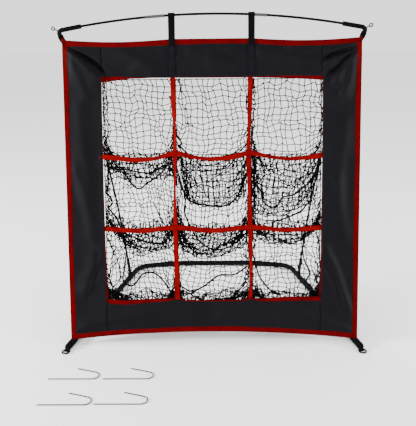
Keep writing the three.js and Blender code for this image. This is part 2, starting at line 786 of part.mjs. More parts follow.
function footSleeve() {
  const half = FOOT_WIDTH / 2;
  const sleeveFront = LEG_FRONT - 3;
  const top = 2 * BELL + GAP;
  const outline = [
    new THREE.Vector2(-half, 0),
    new THREE.Vector2(half, 0),
    new THREE.Vector2(half, top - 9),
    new THREE.Vector2(half - 3, top - 3),
    new THREE.Vector2(half - 9, top),
    new THREE.Vector2(9 - half, top),
    new THREE.Vector2(3 - half, top - 3),
    new THREE.Vector2(-half, top - 9),
  ];
  const body = plate(outline, [], sleeveFront, FOOT_BACK);
  const tabHalf = RING_HALF_WIDTH - 2 * RING_WIRE - 2 * GAP;
  const tab = box([-tabHalf, FOOT_FRONT, 0], [tabHalf, sleeveFront + 5, FOOT_TAB_HEIGHT]);
  const legFront = new THREE.Vector3(0, LEG_FRONT - 1, BASE_HEIGHT);
  const legBack = new THREE.Vector3(0, FOOT_BACK + 5, BASE_HEIGHT);
  const leg = bar([legFront, legBack], BASE_TUBE + GAP, 12, true);
  return cut(join(body, tab), leg, ringBar(RING_WIRE + GAP, half + 5));
}

function ringBar(radius, reach) {
  const height = FOOT_TAB_HEIGHT / 2;
  const ends = [new THREE.Vector3(-reach, RING_BAR, height), new THREE.Vector3(reach, RING_BAR, height)];
  return bar(ends, radius, 8);
}

// A D-ring: a straight bar through the foot's tab and a rounded bow in front of it.
function footRing() {
  const reach = RING_HALF_WIDTH - RING_WIRE;
  const height = FOOT_TAB_HEIGHT / 2;
  const front = RING_BAR - 22;
  const corners = [
    new THREE.Vector3(-reach, RING_BAR, height),
    new THREE.Vector3(-reach, front, height),
    new THREE.Vector3(reach, front, height),
    new THREE.Vector3(reach, RING_BAR, height),
  ];
  return join(ringBar(RING_WIRE, reach + RING_WIRE), bar(roundedRoute(corners, 11, 4), RING_WIRE, 8));
}

function addFeet() {
  for (const side of SIDES) {
    add(legs[side.name], `foot_sleeve_${side.name}`, footSleeve(), BLACK_WEBBING);
    add(legs[side.name], `foot_ring_${side.name}`, footRing(), BLACK_STEEL);
  }
}

// A stake lies flat: a long leg, a round turn and a shorter leg that spreads away from it.
function stake() {
  const stations = [new THREE.Vector3(-STAKE_LEG, 0, 0)];
  const steps = 10;
  for (let i = 0; i <= steps; i++) {
    const angle = (STAKE_TURN * i) / steps;
    const x = STAKE_BEND * Math.sin(angle);
    stations.push(new THREE.Vector3(x, STAKE_BEND * (1 - Math.cos(angle)), 0));
  }
  const returning = new THREE.Vector3(Math.cos(STAKE_TURN), Math.sin(STAKE_TURN), 0);
  stations.push(stations.at(-1).clone().addScaledVector(returning, STAKE_RETURN));
  return bar(stations, STAKE_WIRE, 8, true);
}

function addStakes() {
  STAKES.forEach(({ x, y }, i) => {
    add(net, `ground_stake_${i + 1}`, stake().translate(x, y, STAKE_WIRE), STAKE_METAL);
  });
}

// ---------------------------------------------------------------- assembly

addBase();
addSidePoles();
addBow();
addPanels();
addBindings();
addWebbingGrid();
addHangingStraps();
addCornerLoops();
addPockets();
addFeet();
addStakes();

// The part's origin is on the floor under the middle of everything that stands or lies there.
const frontmost = Math.min(...STAKES.map(({ y }) => y)) - STAKE_WIRE;
const rearmost = REAR_BAR_Y + BELL;
net.position.y = -(frontmost + rearmost) / 2;

const chippingNet = new THREE.Group();
chippingNet.add(net);
export default chippingNet;
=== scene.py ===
"""The nine-pocket practice net's looks: cloth, folded tape, webbing, knotted nets and every material.

Lengths in the shape code are millimetres and become metres where a mesh is made. A point on the sheet is
(x, n, t): x to the right, n behind the sheet and t up along it from its lower corners.
"""

import itertools
import json
import math

import bpy
import numpy as np
from mathutils import Matrix, Vector


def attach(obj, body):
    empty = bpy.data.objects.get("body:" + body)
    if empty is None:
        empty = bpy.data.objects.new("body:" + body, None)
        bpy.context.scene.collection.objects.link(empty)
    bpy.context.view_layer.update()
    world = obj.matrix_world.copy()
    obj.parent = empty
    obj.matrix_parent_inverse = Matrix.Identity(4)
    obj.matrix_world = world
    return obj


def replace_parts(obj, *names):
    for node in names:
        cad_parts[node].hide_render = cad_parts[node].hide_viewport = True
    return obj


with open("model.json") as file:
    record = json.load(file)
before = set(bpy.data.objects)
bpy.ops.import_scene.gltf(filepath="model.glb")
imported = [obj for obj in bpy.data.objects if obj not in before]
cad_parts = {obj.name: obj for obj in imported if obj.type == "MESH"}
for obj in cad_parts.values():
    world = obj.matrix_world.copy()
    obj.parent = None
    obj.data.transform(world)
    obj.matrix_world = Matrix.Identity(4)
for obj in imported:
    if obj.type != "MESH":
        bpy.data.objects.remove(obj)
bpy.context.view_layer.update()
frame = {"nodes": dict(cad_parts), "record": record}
nodes = frame["nodes"]
SIDES = (("left", -1), ("right", 1))

# ---------------------------------------------------------------- driving dimensions, the same as the CAD's

MM = 0.001
LEAN = math.radians(13.2)
SHIFT_Y = -204.5
SHEET_FRONT = -15
SHEET_LIFT = 30
HALF_WIDTH = 610
SHEET_HEIGHT = 1254
EDGE_RISE = 34
EDGE_DIP = 10
STRAP_X = 162
STRAP_WIDTH = 25
OPENING_X = 455
OPENING_TOP = 1099
OPENING_BOTTOM = 168
TAPE_WIDTH = 22
WEBBING_X = 155
WEBBING_WIDTH = 21
WEBBING = 1.6
WEBBING_T = {"upper": 781, "lower": 476}
BOW_TOP = 1352
BOW_DROP = 1.57e-4
LEG_X = 606
LEG_SPLAY = 0.25
SOCKET_Y = 652
BASE_HEIGHT = 14
POLE_CONTROL = (525, 727, 772)
ELBOW_CORNER_X = 625
FERRULE = 6.2

MESH_PITCH = 24
CORD = 1.85  # radii of the net's cord, rope and knots
ROPE = 3.8
KNOT = 3.2


def sheet_point(p):
    """Row-frame millimetres for points (x, n, t) on the sheet."""
    p = np.asarray(p, float)
    x, n, t = p[..., 0], p[..., 1], p[..., 2]
    y = SHEET_FRONT + SHIFT_Y + t * math.sin(LEAN) + n * math.cos(LEAN)
    z = SHEET_LIFT + t * math.cos(LEAN) - n * math.sin(LEAN)
    return np.stack([x, y, z], -1)


def behind_sheet(p):
    """How far a point in row-frame millimetres lies behind the sheet's plane."""
    return (p[1] - SHIFT_Y - SHEET_FRONT) * math.cos(LEAN) - (p[2] - SHEET_LIFT) * math.sin(LEAN)


def smooth_step(a, b, x):
    s = np.clip((x - a) / (b - a), 0, 1)
    return s * s * (3 - 2 * s)


def lower_edge(x):
    return EDGE_RISE * (1 - (x / HALF_WIDTH) ** 2)


def upper_edge(x):
    out = np.maximum(np.abs(x) - STRAP_X, 0)
    return SHEET_HEIGHT - EDGE_DIP * np.sin(np.pi * out / (HALF_WIDTH - STRAP_X))


def bow_height(x):
    return BOW_TOP - BOW_DROP * x * x


def pole_point(sign, u):
    """A point on a side pole's curve, in row-frame millimetres."""
    foot = np.array([sign * (LEG_X - LEG_SPLAY * SOCKET_Y), SOCKET_Y + SHIFT_Y, BASE_HEIGHT])
    pull = np.array([sign * POLE_CONTROL[0], POLE_CONTROL[1] + SHIFT_Y, POLE_CONTROL[2]])
    top = sheet_point([sign * ELBOW_CORNER_X, 0, bow_height(ELBOW_CORNER_X)])
    return (1 - u) ** 2 * foot + 2 * u * (1 - u) * pull + u * u * top


# ---------------------------------------------------------------- camera

CAMERA_AT = (23.1, -2564.5, 1420.7)
CAMERA_PITCH = math.radians(19.269)
CAMERA_YAW = math.radians(1.0)
CAMERA_ROLL = math.radians(-0.696)
CAMERA_LENS = 52.9


def make_camera():
    data = bpy.data.cameras.new("camera")
    camera = bpy.data.objects.new("camera", data)
    bpy.context.scene.collection.objects.link(camera)
    data.sensor_width = 36
    data.lens = CAMERA_LENS
    data.clip_end = 100
    flat = Vector((math.cos(CAMERA_YAW), math.sin(CAMERA_YAW), 0))
    ahead = Vector((-math.sin(CAMERA_YAW), math.cos(CAMERA_YAW), 0))
    up = ahead * math.sin(CAMERA_PITCH) + Vector((0, 0, math.cos(CAMERA_PITCH)))
    forward = ahead * math.cos(CAMERA_PITCH) - Vector((0, 0, math.sin(CAMERA_PITCH)))
    right = flat * math.cos(CAMERA_ROLL) + up * math.sin(CAMERA_ROLL)
    top = up * math.cos(CAMERA_ROLL) - flat * math.sin(CAMERA_ROLL)
    turn = Matrix((right, top, -forward)).transposed().to_4x4()
    camera.matrix_world = Matrix.Translation(Vector(CAMERA_AT) * MM) @ turn
    bpy.context.scene.camera = camera


make_camera()

# ---------------------------------------------------------------- materials


class Shader:
    """A small builder of node materials round one Principled shader."""

    def __init__(self, name, roughness, specular, metallic=0.0):
        self.material = bpy.data.materials.new(name)
        self.material.use_nodes = True
        self.tree = self.material.node_tree
        self.surface = self.tree.nodes["Principled BSDF"]
        levels = {"Roughness": roughness, "Specular IOR Level": specular, "Metallic": metallic}
        self.fill(self.surface, levels)
        self.place = self.node("TexCoord").outputs["Object"]

    def fill(self, node, inputs):
        """Sets a node's inputs, each to a constant, a colour or another node's output."""
        for key, value in inputs.items():
            if isinstance(value, bpy.types.NodeSocket):
                self.tree.links.new(value, node.inputs[key])
            elif node.inputs[key].type == "RGBA":
                node.inputs[key].default_value = (*value, 1)
            else:
                node.inputs[key].default_value = value

    def node(self, kind, inputs=None, **settings):
        made = self.tree.nodes.new("ShaderNode" + kind)
        for key, value in settings.items():
            setattr(made, key, value)
        self.fill(made, inputs or {})
        return made

    def stretched(self, scale):
        return self.node("Mapping", {"Vector": self.place, "Scale": scale}).outputs["Vector"]

    def noise(self, place, scale, detail=3.0, roughness=0.55, distortion=0.0):
        inputs = {"Vector": place, "Scale": scale, "Detail": detail, "Roughness": roughness}
        return self.node("TexNoise", {**inputs, "Distortion": distortion}).outputs["Fac"]

    def wave(self, place, scale, direction):
        made = self.node("TexWave", {"Vector": place, "Scale": scale}, bands_direction=direction)
        return made.outputs["Fac"]

    def times(self, a, b):
        return self.node("Math", {0: a, 1: b}, operation="MULTIPLY").outputs["Value"]

    def plus(self, a, b):
        return self.node("Math", {0: a, 1: b}, operation="ADD").outputs["Value"]

    def ramp(self, source, *stops, ease="LINEAR"):
        ramp = self.node("ValToRGB", {"Fac": source})
        ramp.color_ramp.interpolation = ease
        elements = ramp.color_ramp.elements
        while len(elements) < len(stops):
            elements.new(0.5)
        for element, (place, color) in zip(elements, stops):
            element.position = place
            element.color = (*color, 1)
        return ramp.outputs["Color"]

    def mix(self, share, a, b, blend="MIX"):
        return self.node("Mix", {0: share, 6: a, 7: b}, data_type="RGBA", blend_type=blend).outputs[2]

    def dress(self, color, rough_source, low, high, height, strength, distance):
        """Joins the colour, the roughness between two values and the bumps to the surface."""
        spread = self.node("MapRange", {"Value": rough_source, "To Min": low, "To Max": high})
        bump = self.node("Bump", {"Strength": strength, "Distance": distance, "Height": height})
        roughness, normal = spread.outputs["Result"], bump.outputs["Normal"]
        self.fill(self.surface, {"Base Color": color, "Roughness": roughness, "Normal": normal})
        return self.material


def shade(color, factor):
    return tuple(min(1.0, part * factor) for part in color)


FABRIC_COLOR = (0.0026, 0.0025, 0.0036)
TAPE_COLOR = (0.072, 0.0002, 0.0005)
RED_WEBBING_COLOR = (0.125, 0.0002, 0.0003)
BLACK_WEBBING_COLOR = (0.0022, 0.0022, 0.0027)
NET_COLOR = (0.0010, 0.0010, 0.0012)
STEEL_COLOR = (0.0015, 0.0014, 0.0018)
ZINC_COLOR = (0.024, 0.024, 0.0255)
ALUMINIUM_COLOR = (0.085, 0.085, 0.086)
WEAVE_SCALE = 520.0  # of the two wave textures that make the cloth's weave
WAVE_PERIOD = 0.314  # metres between the bands of a wave texture of scale 1
THREAD_SCALE = 7.0  # of the wave texture for threads along a tape


def fabric_material():
    """Coated polyester: a fine plain weave, faint lighter streaks that are painted sheen, and a little dust.
    """
    s = Shader("panel_fabric", 0.62, 0.05)
    cloud = s.noise(s.place, 5.0, detail=4.0)
    streak = s.noise(s.stretched((9.0, 9.0, 1.6)), 2.2, detail=5.0, distortion=0.4)
    base = s.ramp(cloud, (0.3, shade(FABRIC_COLOR, 0.82)), (0.75, shade(FABRIC_COLOR, 1.25)))
    # Lighter streaks mixed into the colour are painted sheen, the light that the cloth's folds catch.
    painted_sheen = s.ramp(streak, (0.52, (0, 0, 0)), (0.78, (1, 1, 1)), ease="EASE")
    base_with_sheen = s.mix(s.times(painted_sheen, 0.4), base, shade(FABRIC_COLOR, 2.4))
    weave = s.times(s.wave(s.place, WEAVE_SCALE, "X"), s.wave(s.place, WEAVE_SCALE, "Z"))
    color = s.mix(s.times(weave, 0.22), base_with_sheen, shade(FABRIC_COLOR, 1.9))
    return s.dress(color, streak, 0.5, 0.72, s.plus(weave, s.times(cloud, 0.3)), 0.25, 0.0004)


def ribbed_material(name, color, dark_share, rib_pitch, edge_dark):
    """Woven tape or webbing: ribs across it, darker selvedges and a few worn threads.
    Its own map has U across the strip and V along it in metres."""
    s = Shader(name, 0.68, 0.02)
    dark = shade(color, dark_share)
    own_map = s.node("UVMap", uv_map="UVMap").outputs["UV"]
    across = s.node("SeparateXYZ", {"Vector": own_map}).outputs["X"]
    edge = s.ramp(across, (0.0, (edge_dark,) * 3), (0.16, (1, 1, 1)), (0.88, (1, 1, 1)), (1.0, (0.8,) * 3))
    wear = s.noise(s.place, 28.0, detail=5.0)
    cloth = s.ramp(wear, (0.3, dark), (0.55, color), (0.85, shade(color, 1.16)))
    ribs = s.times(s.wave(own_map, WAVE_PERIOD / rib_pitch, "Y"), 0.7)
    lines = s.plus(ribs, s.times(s.wave(own_map, THREAD_SCALE, "X"), 0.3))
    ribbed = s.mix(s.times(lines, 0.3), cloth, dark)
    return s.dress(s.mix(1.0, ribbed, edge, "MULTIPLY"), wear, 0.6, 0.8, lines, 0.35, 0.0003)


def net_material():
    """Twisted polyethylene cord: fine slanting strands, some dustier than others."""
    s = Shader("netting", 0.6, 0.03)
    dust = s.noise(s.place, 9.0, detail=4.0)
    twist = s.wave(s.stretched((1.0, 1.0, 1.4)), 260.0, "DIAGONAL")
    cord = s.ramp(dust, (0.35, shade(NET_COLOR, 0.7)), (0.8, shade(NET_COLOR, 2.0)))
    color = s.mix(s.times(twist, 0.35), cord, shade(NET_COLOR, 2.6))
    return s.dress(color, dust, 0.5, 0.75, twist, 0.5, 0.0004)


def coated_material(name, color, roughness, specular, grain):
    """Powder coat, moulded rubber or pultruded rod: faint orange peel, scuffs and rubbed patches."""
    s = Shader(name, roughness, specular)
    peel = s.noise(s.place, grain, detail=2.0)
    scuff = s.noise(s.stretched((6.0, 6.0, 1.0)), 14.0, detail=6.0, roughness=0.7)
    worn = s.ramp(scuff, (0.45, shade(color, 0.85)), (0.62, color), (0.82, shade(color, 2.1)))
    color = s.mix(s.times(peel, 0.25), worn, shade(color, 1.5))
    return s.dress(color, scuff, roughness * 0.8, min(1.0, roughness * 1.35), peel, 0.18, 0.0003)


def metal_material(name, color, roughness):
    """Bare metal with drawing lines along it, dull spots and fine scratches."""
    s = Shader(name, roughness, 0.5, metallic=1.0)
    lines = s.noise(s.stretched((1.0, 8.0, 8.0)), 60.0, detail=5.0, roughness=0.65)
    spots = s.noise(s.place, 35.0)
    bright = s.ramp(lines, (0.3, shade(color, 0.72)), (0.7, shade(color, 1.2)))
    color = s.mix(s.times(spots, 0.35), bright, shade(color, 0.55))
    return s.dress(color, spots, roughness * 0.75, roughness * 1.4, lines, 0.12, 0.0002)


def floor_material():
    s = Shader("studio_floor", 0.9, 0.1)
    color = s.ramp(s.noise(s.place, 1.5), (0.3, (0.90, 0.90, 0.90)), (0.7, (0.93, 0.93, 0.93)))
    s.fill(s.surface, {"Base Color": color})
    return s.material


MATERIALS = {
    "panel_fabric": fabric_material(),
    "netting": net_material(),
    "bright_steel": metal_material("bright_steel", ZINC_COLOR, 0.36),
    "ferrule": metal_material("ferrule", ALUMINIUM_COLOR, 0.3),
}
# Name, colour, the dark threads' share of that colour, metres from rib to rib, darkness of one selvedge.
for row in (
    ("red_binding", TAPE_COLOR, 0.6, 0.0012, 0.55),
    ("red_webbing", RED_WEBBING_COLOR, 0.62, 0.0016, 0.8),
    ("black_webbing", BLACK_WEBBING_COLOR, 0.6, 0.0016, 0.8),
    ("sewn_webbing", shade(FABRIC_COLOR, 1.8), 2 / 3, 0.0016, 0.7),
):
    MATERIALS[row[0]] = ribbed_material(*row)
# Name, colour, roughness, specular level, scale of the grain.
for row in (
    ("black_steel", shade(STEEL_COLOR, 2.2), 0.5, 0.03, 420.0),
    ("fibreglass", STEEL_COLOR, 0.4, 0.03, 900.0),
    ("elbow", STEEL_COLOR, 0.6, 0.03, 300.0),
    ("thread_red", shade(TAPE_COLOR, 0.8), 0.55, 0.1, 420.0),
    ("thread_black", shade(FABRIC_COLOR, 0.8), 0.5, 0.15, 420.0),
):
    MATERIALS[row[0]] = coated_material(*row)

# ---------------------------------------------------------------- mesh helpers


def piece(name, points, faces, material, slot, uvs, body="frame"):
    """A mesh object from row-frame millimetres, riding on a body. uvs is one pair for each point."""
    mesh = bpy.data.meshes.new(name)
    mesh.from_pydata((np.asarray(points, float) * MM).tolist(), [], faces)
    layer = mesh.uv_layers.new(name="UVMap")
    corners = np.zeros(len(mesh.loops), np.int32)
    mesh.loops.foreach_get("vertex_index", corners)
    layer.data.foreach_set("uv", np.asarray(uvs, np.float32)[corners].ravel())
    mesh.polygons.foreach_set("use_smooth", [True] * len(mesh.polygons))
    mesh.materials.append(MATERIALS[material])
    mesh.validate()
    made = bpy.data.objects.new(name, mesh)
    bpy.context.scene.collection.objects.link(made)
    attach(made, body)
    return made


class Parts:
    """Collects several closed shapes that become one piece."""

    def __init__(self):
        self.points = []
        self.faces = []
        self.uvs = []
        self.count = 0

    def add(self, points, faces, uvs=None):
        points = np.asarray(points, float).reshape(-1, 3)
        self.points.append(points)
        self.uvs.append(np.zeros((len(points), 2)) if uvs is None else np.asarray(uvs, float))
        self.faces.extend(tuple(int(i) + self.count for i in face) for face in faces)
        self.count += len(points)

    def make(self, name, material, slot, **settings):
        points, uvs = np.concatenate(self.points), np.concatenate(self.uvs)
        return piece(name, points, self.faces, material, slot, uvs, **settings)


def ring_faces(rings, around, closed=False):
    """Quads between successive rings of points, with flat ends unless the chain closes on itself."""
    faces = []
    last = rings if closed else rings - 1
    for i in range(last):
        here = i * around
        there = ((i + 1) % rings) * around
        for k in range(around):
            j = (k + 1) % around
            faces.append((here + k, here + j, there + j, there + k))
    if not closed:
        faces.append(tuple(reversed(range(around))))
        faces.append(tuple((rings - 1) * around + k for k in range(around)))
    return faces


def inside_out(faces):
    return [tuple(reversed(face)) for face in faces]


def tube(path, radius, around=8):
    """A round tube along a path, with radius one number or one for each point."""
    path = np.asarray(path, float)
    radii = np.broadcast_to(radius, len(path))
    ahead = np.gradient(path, axis=0)
    ahead /= np.linalg.norm(ahead, axis=1)[:, None]
    side = np.cross(ahead[0], [0.31, 0.17, 0.94])
    points = []
    for middle, along, r in zip(path, ahead, radii):
        side = side - along * np.dot(side, along)
        side /= np.linalg.norm(side)
        other = np.cross(along, side)
        for k in range(around):
            angle = 2 * math.pi * k / around
            points.append(middle + r * (math.cos(angle) * side + math.sin(angle) * other))
    return np.array(points), ring_faces(len(path), around)


def spline(controls, per_span=8):
    """A smooth path through control points."""
    c = np.asarray(controls, float)
    padded = np.concatenate([[2 * c[0] - c[1]], c, [2 * c[-1] - c[-2]]])
    u = np.linspace(0, 1, per_span, endpoint=False)[:, None]
    spans = []
    for i in range(len(c) - 1):
        a, b, d, e = padded[i : i + 4]
        square = (2 * a - 5 * b + 4 * d - e) * u**2
        cube = (3 * b - a - 3 * d + e) * u**3
        spans.append((2 * b + (d - a) * u + square + cube) / 2)
    return np.concatenate([*spans, c[-1:]])


# ---------------------------------------------------------------- cloth relief

# Folds as (from, to, height, width, lean): a crest from one point to another on the sheet. A positive height
# comes forward. Lean above 0 makes the side above the crest steeper.
FOLDS = [
    ((-606, 1222), (-450, 1096), 9.0, 17, 0.6),
    ((-596, 1240), (-446, 1124), -8.0, 8, 0.0),
    ((-600, 1180), (-500, 1010), 4.0, 24, 0.3),
    ((592, 1226), (466, 1200), 6.0, 12, -0.4),
    ((594, 1214), (462, 1140), 9.0, 16, -0.6),
    ((588, 1224), (470, 1168), -6.0, 9, 0.0),
    ((596, 1196), (492, 1072), 9.0, 17, -0.6),
    ((592, 1206), (476, 1106), -6.0, 9, 0.0),
    ((580, 1150), (530, 1010), 6.0, 18, -0.4),
    ((-462, 420), (-548, 190), 6.0, 20, 0.5),
    ((-470, 380), (-520, 250), -4.0, 14, 0.0),
    ((462, 400), (590, 110), 7.0, 22, 0.5),
    ((468, 330), (560, 120), -4.0, 15, 0.0),
    ((210, 150), (590, 44), 5.5, 20, 0.4),
    ((-210, 148), (-590, 40), 4.0, 20, 0.4),
    ((-540, 1000), (-520, 600), 4.0, 30, 0.2),
    ((-570, 760), (-500, 420), 3.5, 26, 0.0),
    ((545, 950), (520, 560), 4.0, 30, 0.2),
    ((500, 700), (560, 420), 3.5, 26, 0.0),
    ((-430, 1225), (-215, 1135), 4.0, 24, 0.3),
    ((-330, 1130), (-120, 1190), 2.5, 16, 0.0),
    ((440, 1150), (185, 1205), 5.0, 18, 0.4),
    ((430, 1180), (240, 1222), -3.0, 14, 0.0),
    ((-100, 1215), (80, 1140), 3.0, 22, 0.3),
    ((20, 1220), (130, 1150), -2.0, 16, 0.0),
]
FOLD_DEPTH = 2.1  # every fold's height is multiplied by this
BROAD_WAVE = 2.4  # how far the cloth wanders from its plane in broad waves and in fine ones
FINE_WAVE = 1.1


def fold_height(x, t, fold):
    (x0, t0), (x1, t1), height, width, lean = fold
    along = np.array([x1 - x0, t1 - t0], float)
    length = np.linalg.norm(along)
    along /= length
    s = ((x - x0) * along[0] + (t - t0) * along[1]) / length
    across = -(x - x0) * along[1] + (t - t0) * along[0]
    across = across + 6 * np.sin(s * 5.1 + x0)
    slope = 1 + lean * np.tanh(across / width)
    profile = np.exp(-((across * slope / width) ** 2))
    return FOLD_DEPTH * height * profile * smooth_step(-0.12, 0.12, s) * (1 - smooth_step(0.85, 1.15, s))


def relief(x, t):
    """How far the cloth stands forward of the sheet's own plane."""
    total = sum(fold_height(x, t, fold) for fold in FOLDS)
    total = total + BROAD_WAVE * np.sin(x / 61 + 1.1 * np.sin(t / 143)) * np.cos(t / 97 + x / 210)
    total = total + FINE_WAVE * np.sin(t / 29 + 0.9 * np.sin(x / 41)) * np.sin(x / 23)
    edge = np.minimum(HALF_WIDTH - np.abs(x), np.minimum(t - lower_edge(x), upper_edge(x) - t))
    strap = 1 - np.exp(-(((np.abs(x) - STRAP_X) / 22) ** 2)) * (t > OPENING_TOP)
    return total * (0.12 + 0.88 * smooth_step(4, 46, edge)) * strap


def shell(x, t, n, thickness, uvs):
    """A closed thin sheet from grids of x, t and n, and its quads."""
    rows, columns = x.shape
    count = rows * columns
    front = sheet_point(np.stack([x, n - thickness / 2, t], -1).reshape(-1, 3))
    back = sheet_point(np.stack([x, n + thickness / 2, t], -1).reshape(-1, 3))
    faces = []
    for i in range(rows - 1):
        for j in range(columns - 1):
            a, b = i * columns + j, i * columns + j + 1
            c, d = b + columns, a + columns
            faces.append((a, b, c, d))
            faces.append((count + d, count + c, count + b, count + a))
    rim = list(range(columns))
    rim += [i * columns + columns - 1 for i in range(1, rows)]
    rim += [(rows - 1) * columns + j for j in reversed(range(columns - 1))]
    rim += [i * columns for i in reversed(range(1, rows - 1))]
    for a, b in zip(rim, rim[1:] + rim[:1]):
        faces.append((b, a, count + a, count + b))
    return np.concatenate([front, back]), faces, np.concatenate([uvs, uvs])


def facing_out(x, t):
    """True if the grid's quads, as shell makes them, face forwards."""
    ax, at = x[0, 1] - x[0, 0], t[0, 1] - t[0, 0]
    bx, bt = x[1, 0] - x[0, 0], t[1, 0] - t[0, 0]
    return ax * bt - at * bx > 0


FABRIC = 1.1
FABRIC_CELL = 4.0  # size of a cloth panel's mesh squares along it
ACROSS_POINTS = 26  # mesh points across a cloth panel
EDGE_INSET = 5  # the cloth's edge lies this far inside the folded tape
HEM_ROLL = 10  # width of the turned hem along the opening
SEAM_LAP = 9  # the bands run this far under the side panels


def hem_bulge(distance):
    """A turned hem stands a little forward along the opening."""
    return 1.1 * np.exp(-(((distance - HEM_ROLL / 2) / (HEM_ROLL * 0.55)) ** 2))


def peak(x, at, height, width):
    return height * np.exp(-(((x - at) / width) ** 2))


def opening_low(x):
    """The bottom panel's upper edge. The webbing pulls it up where it is sewn on."""
    pulled = peak(x, -WEBBING_X, 9, 26) + peak(x, WEBBING_X, 8, 24)
    return OPENING_BOTTOM - 3 + pulled - peak(x, -380, 12, 95)


def opening_high(x):
    """The top panel's lower edge."""
    return OPENING_TOP + 2 + peak(x, -400, 5, 60) + peak(x, 300, 2, 80)


def opening_side(sign, t):
    """A side panel's inner edge, which bows out by a little more on the left than on the right."""
    share = np.clip((t - OPENING_BOTTOM) / (OPENING_TOP - OPENING_BOTTOM), 0, 1)
    return sign * (OPENING_X + 4.5 * np.sin(np.pi * share) * (0.6 if sign < 0 else 0.4) - 1)


def cloth_panel(name, x, t, hem):
    """One piece of cloth on a grid of places on the sheet. hem is how far its edge stands forward."""
    n = -relief(x, t) - hem
    if not facing_out(x, t):
        x, t, n = x[:, ::-1], t[:, ::-1], n[:, ::-1]
    uvs = np.stack([x * MM, t * MM], -1).reshape(-1, 2)
    points, faces, maps = shell(x, t, n, FABRIC, uvs)
    made = piece(name + "_cloth", points, faces, "panel_fabric", "panel_fabric", maps)
    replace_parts(made, name)
    return made


def side_cloth(side, sign):
    """A side panel: full height, its inner edge the opening's side and, past the opening, the two seams."""
    rows = round(SHEET_HEIGHT / FABRIC_CELL)
    v = np.linspace(0, 1, rows)[:, None]
    u = np.linspace(0, 1, ACROSS_POINTS)[None, :]
    outer = sign * (HALF_WIDTH - EDGE_INSET)
    inner = opening_side(sign, v * SHEET_HEIGHT)
    x = inner + (outer - inner) * u
    low = lower_edge(x) + EDGE_INSET
    high = upper_edge(x) - EDGE_INSET
    t = low + (high - low) * v
    return cloth_panel(f"side_panel_{side}", x, t, hem_bulge(np.abs(x - inner)))


def band_cloth(name, low, high):
    """The top or bottom panel, whose ends run under the side panels."""
    columns = round(2 * OPENING_X / FABRIC_CELL)
    u = np.linspace(-1, 1, columns)[None, :]
    v = np.linspace(0, 1, ACROSS_POINTS)[:, None]
    x = u * (OPENING_X + SEAM_LAP) + 0 * v
    bottom, top = low(x), high(x)
    t = bottom + (top - bottom) * v
    hem_edge = top if name == "bottom_panel" else bottom
    under = 1.6 * smooth_step(OPENING_X - 14, OPENING_X - 2, np.abs(x))
    return cloth_panel(name, x, t, hem_bulge(np.abs(t - hem_edge)) - under)


for side, sign in SIDES:
    side_cloth(side, sign)
band_cloth("top_panel", opening_high, lambda x: upper_edge(x) - EDGE_INSET)
band_cloth("bottom_panel", lambda x: lower_edge(x) + EDGE_INSET, opening_low)

# ---------------------------------------------------------------- stitches

STITCH = 3.4  # the length of one
STITCH_PITCH = 4.6
STITCH_LIFT = 0.35
THREAD = 0.38  # radius, and the seams' first row has a thicker one, which paints a dark line of shade along the seam's edge
SEAM_SHADE_THREAD = 0.9
FOOT_THREAD = 0.45


def stitch_rows(parts, path, radius=THREAD):
    """Thread stitches along a path of sheet points, each a small spindle half sunk in the cloth."""
    path = np.asarray(path, float)
    steps = np.linalg.norm(np.diff(path, axis=0), axis=1)
    run = np.concatenate([[0], np.cumsum(steps)])
    starts = np.arange(STITCH_PITCH / 2, run[-1] - STITCH, STITCH_PITCH)
    for start in starts:
        a, b = (np.array([np.interp(s, run, axis) for axis in path.T]) for s in (start, start + STITCH))
        side = np.cross((b - a) / max(np.linalg.norm(b - a), 1e-6), [0, 1, 0]) * radius
        middle = (a + b) / 2 + np.array([0, -STITCH_LIFT, 0])
        front = np.array([0, -radius, 0])
        points = [a, middle + side, middle + front, middle - side, middle - front, b]
        faces = [(0, 2, 1), (0, 3, 2), (0, 4, 3), (0, 1, 4), (5, 1, 2), (5, 2, 3), (5, 3, 4), (5, 4, 1)]
        parts.add(sheet_point(points), faces)


def on_cloth(x, t, forward):
    """Sheet points a little in front of the cloth."""
    x, t = np.broadcast_arrays(x, t)
    return np.stack([x, -relief(x, t) - forward, t], -1)


def seam_stitches():
    """Three rows over each seam, the first a thick dark one that is painted shade along the seam's edge, and
    one row along each hem of the opening.
    """
    parts = Parts()
    for sign in (-1, 1):
        # The first row lies on the seam's edge and, thick and dark, stands in for the shade in the seam's
        # groove.
        for offset, radius in ((-0.6, SEAM_SHADE_THREAD), (3.5, THREAD), (9.0, THREAD)):
            x = sign * (OPENING_X + offset)
            for start, end in ((OPENING_TOP + 24, SHEET_HEIGHT - 26), (OPENING_BOTTOM - 24, 46)):
                stitch_rows(parts, on_cloth(x, np.linspace(start, end, 30), 1.2), radius=radius)
        t = np.linspace(OPENING_BOTTOM, OPENING_TOP, 160)
        stitch_rows(parts, on_cloth(opening_side(sign, t) + sign * HEM_ROLL, t, 1.3))
    x = np.linspace(-OPENING_X + 8, OPENING_X - 8, 160)
    stitch_rows(parts, on_cloth(x, opening_high(x) + HEM_ROLL, 1.3))
    stitch_rows(parts, on_cloth(x, opening_low(x) - HEM_ROLL, 1.3))
    parts.make("hem_and_seam_stitches", "thread_black", "panel_fabric")


seam_stitches()

# ---------------------------------------------------------------- folded tape on the outer edge

# The tape's section: distance in from the sheet's edge and distance behind the cloth.
TAPE_SECTION = [
    (0.0, 0.0), (0.4, -1.2), (1.5, -1.8), (6.0, -2.0), (14.0, -1.9), (20.6, -1.7), (22.0, -1.1),
    (22.0, 1.1), (20.6, 1.7), (14.0, 1.9), (6.0, 2.0), (1.5, 1.8), (0.4, 1.2),
]
EDGES = ("bottom", "right", "top", "left")
TAPE_STEP = 8  # between two of the outer tape's sections


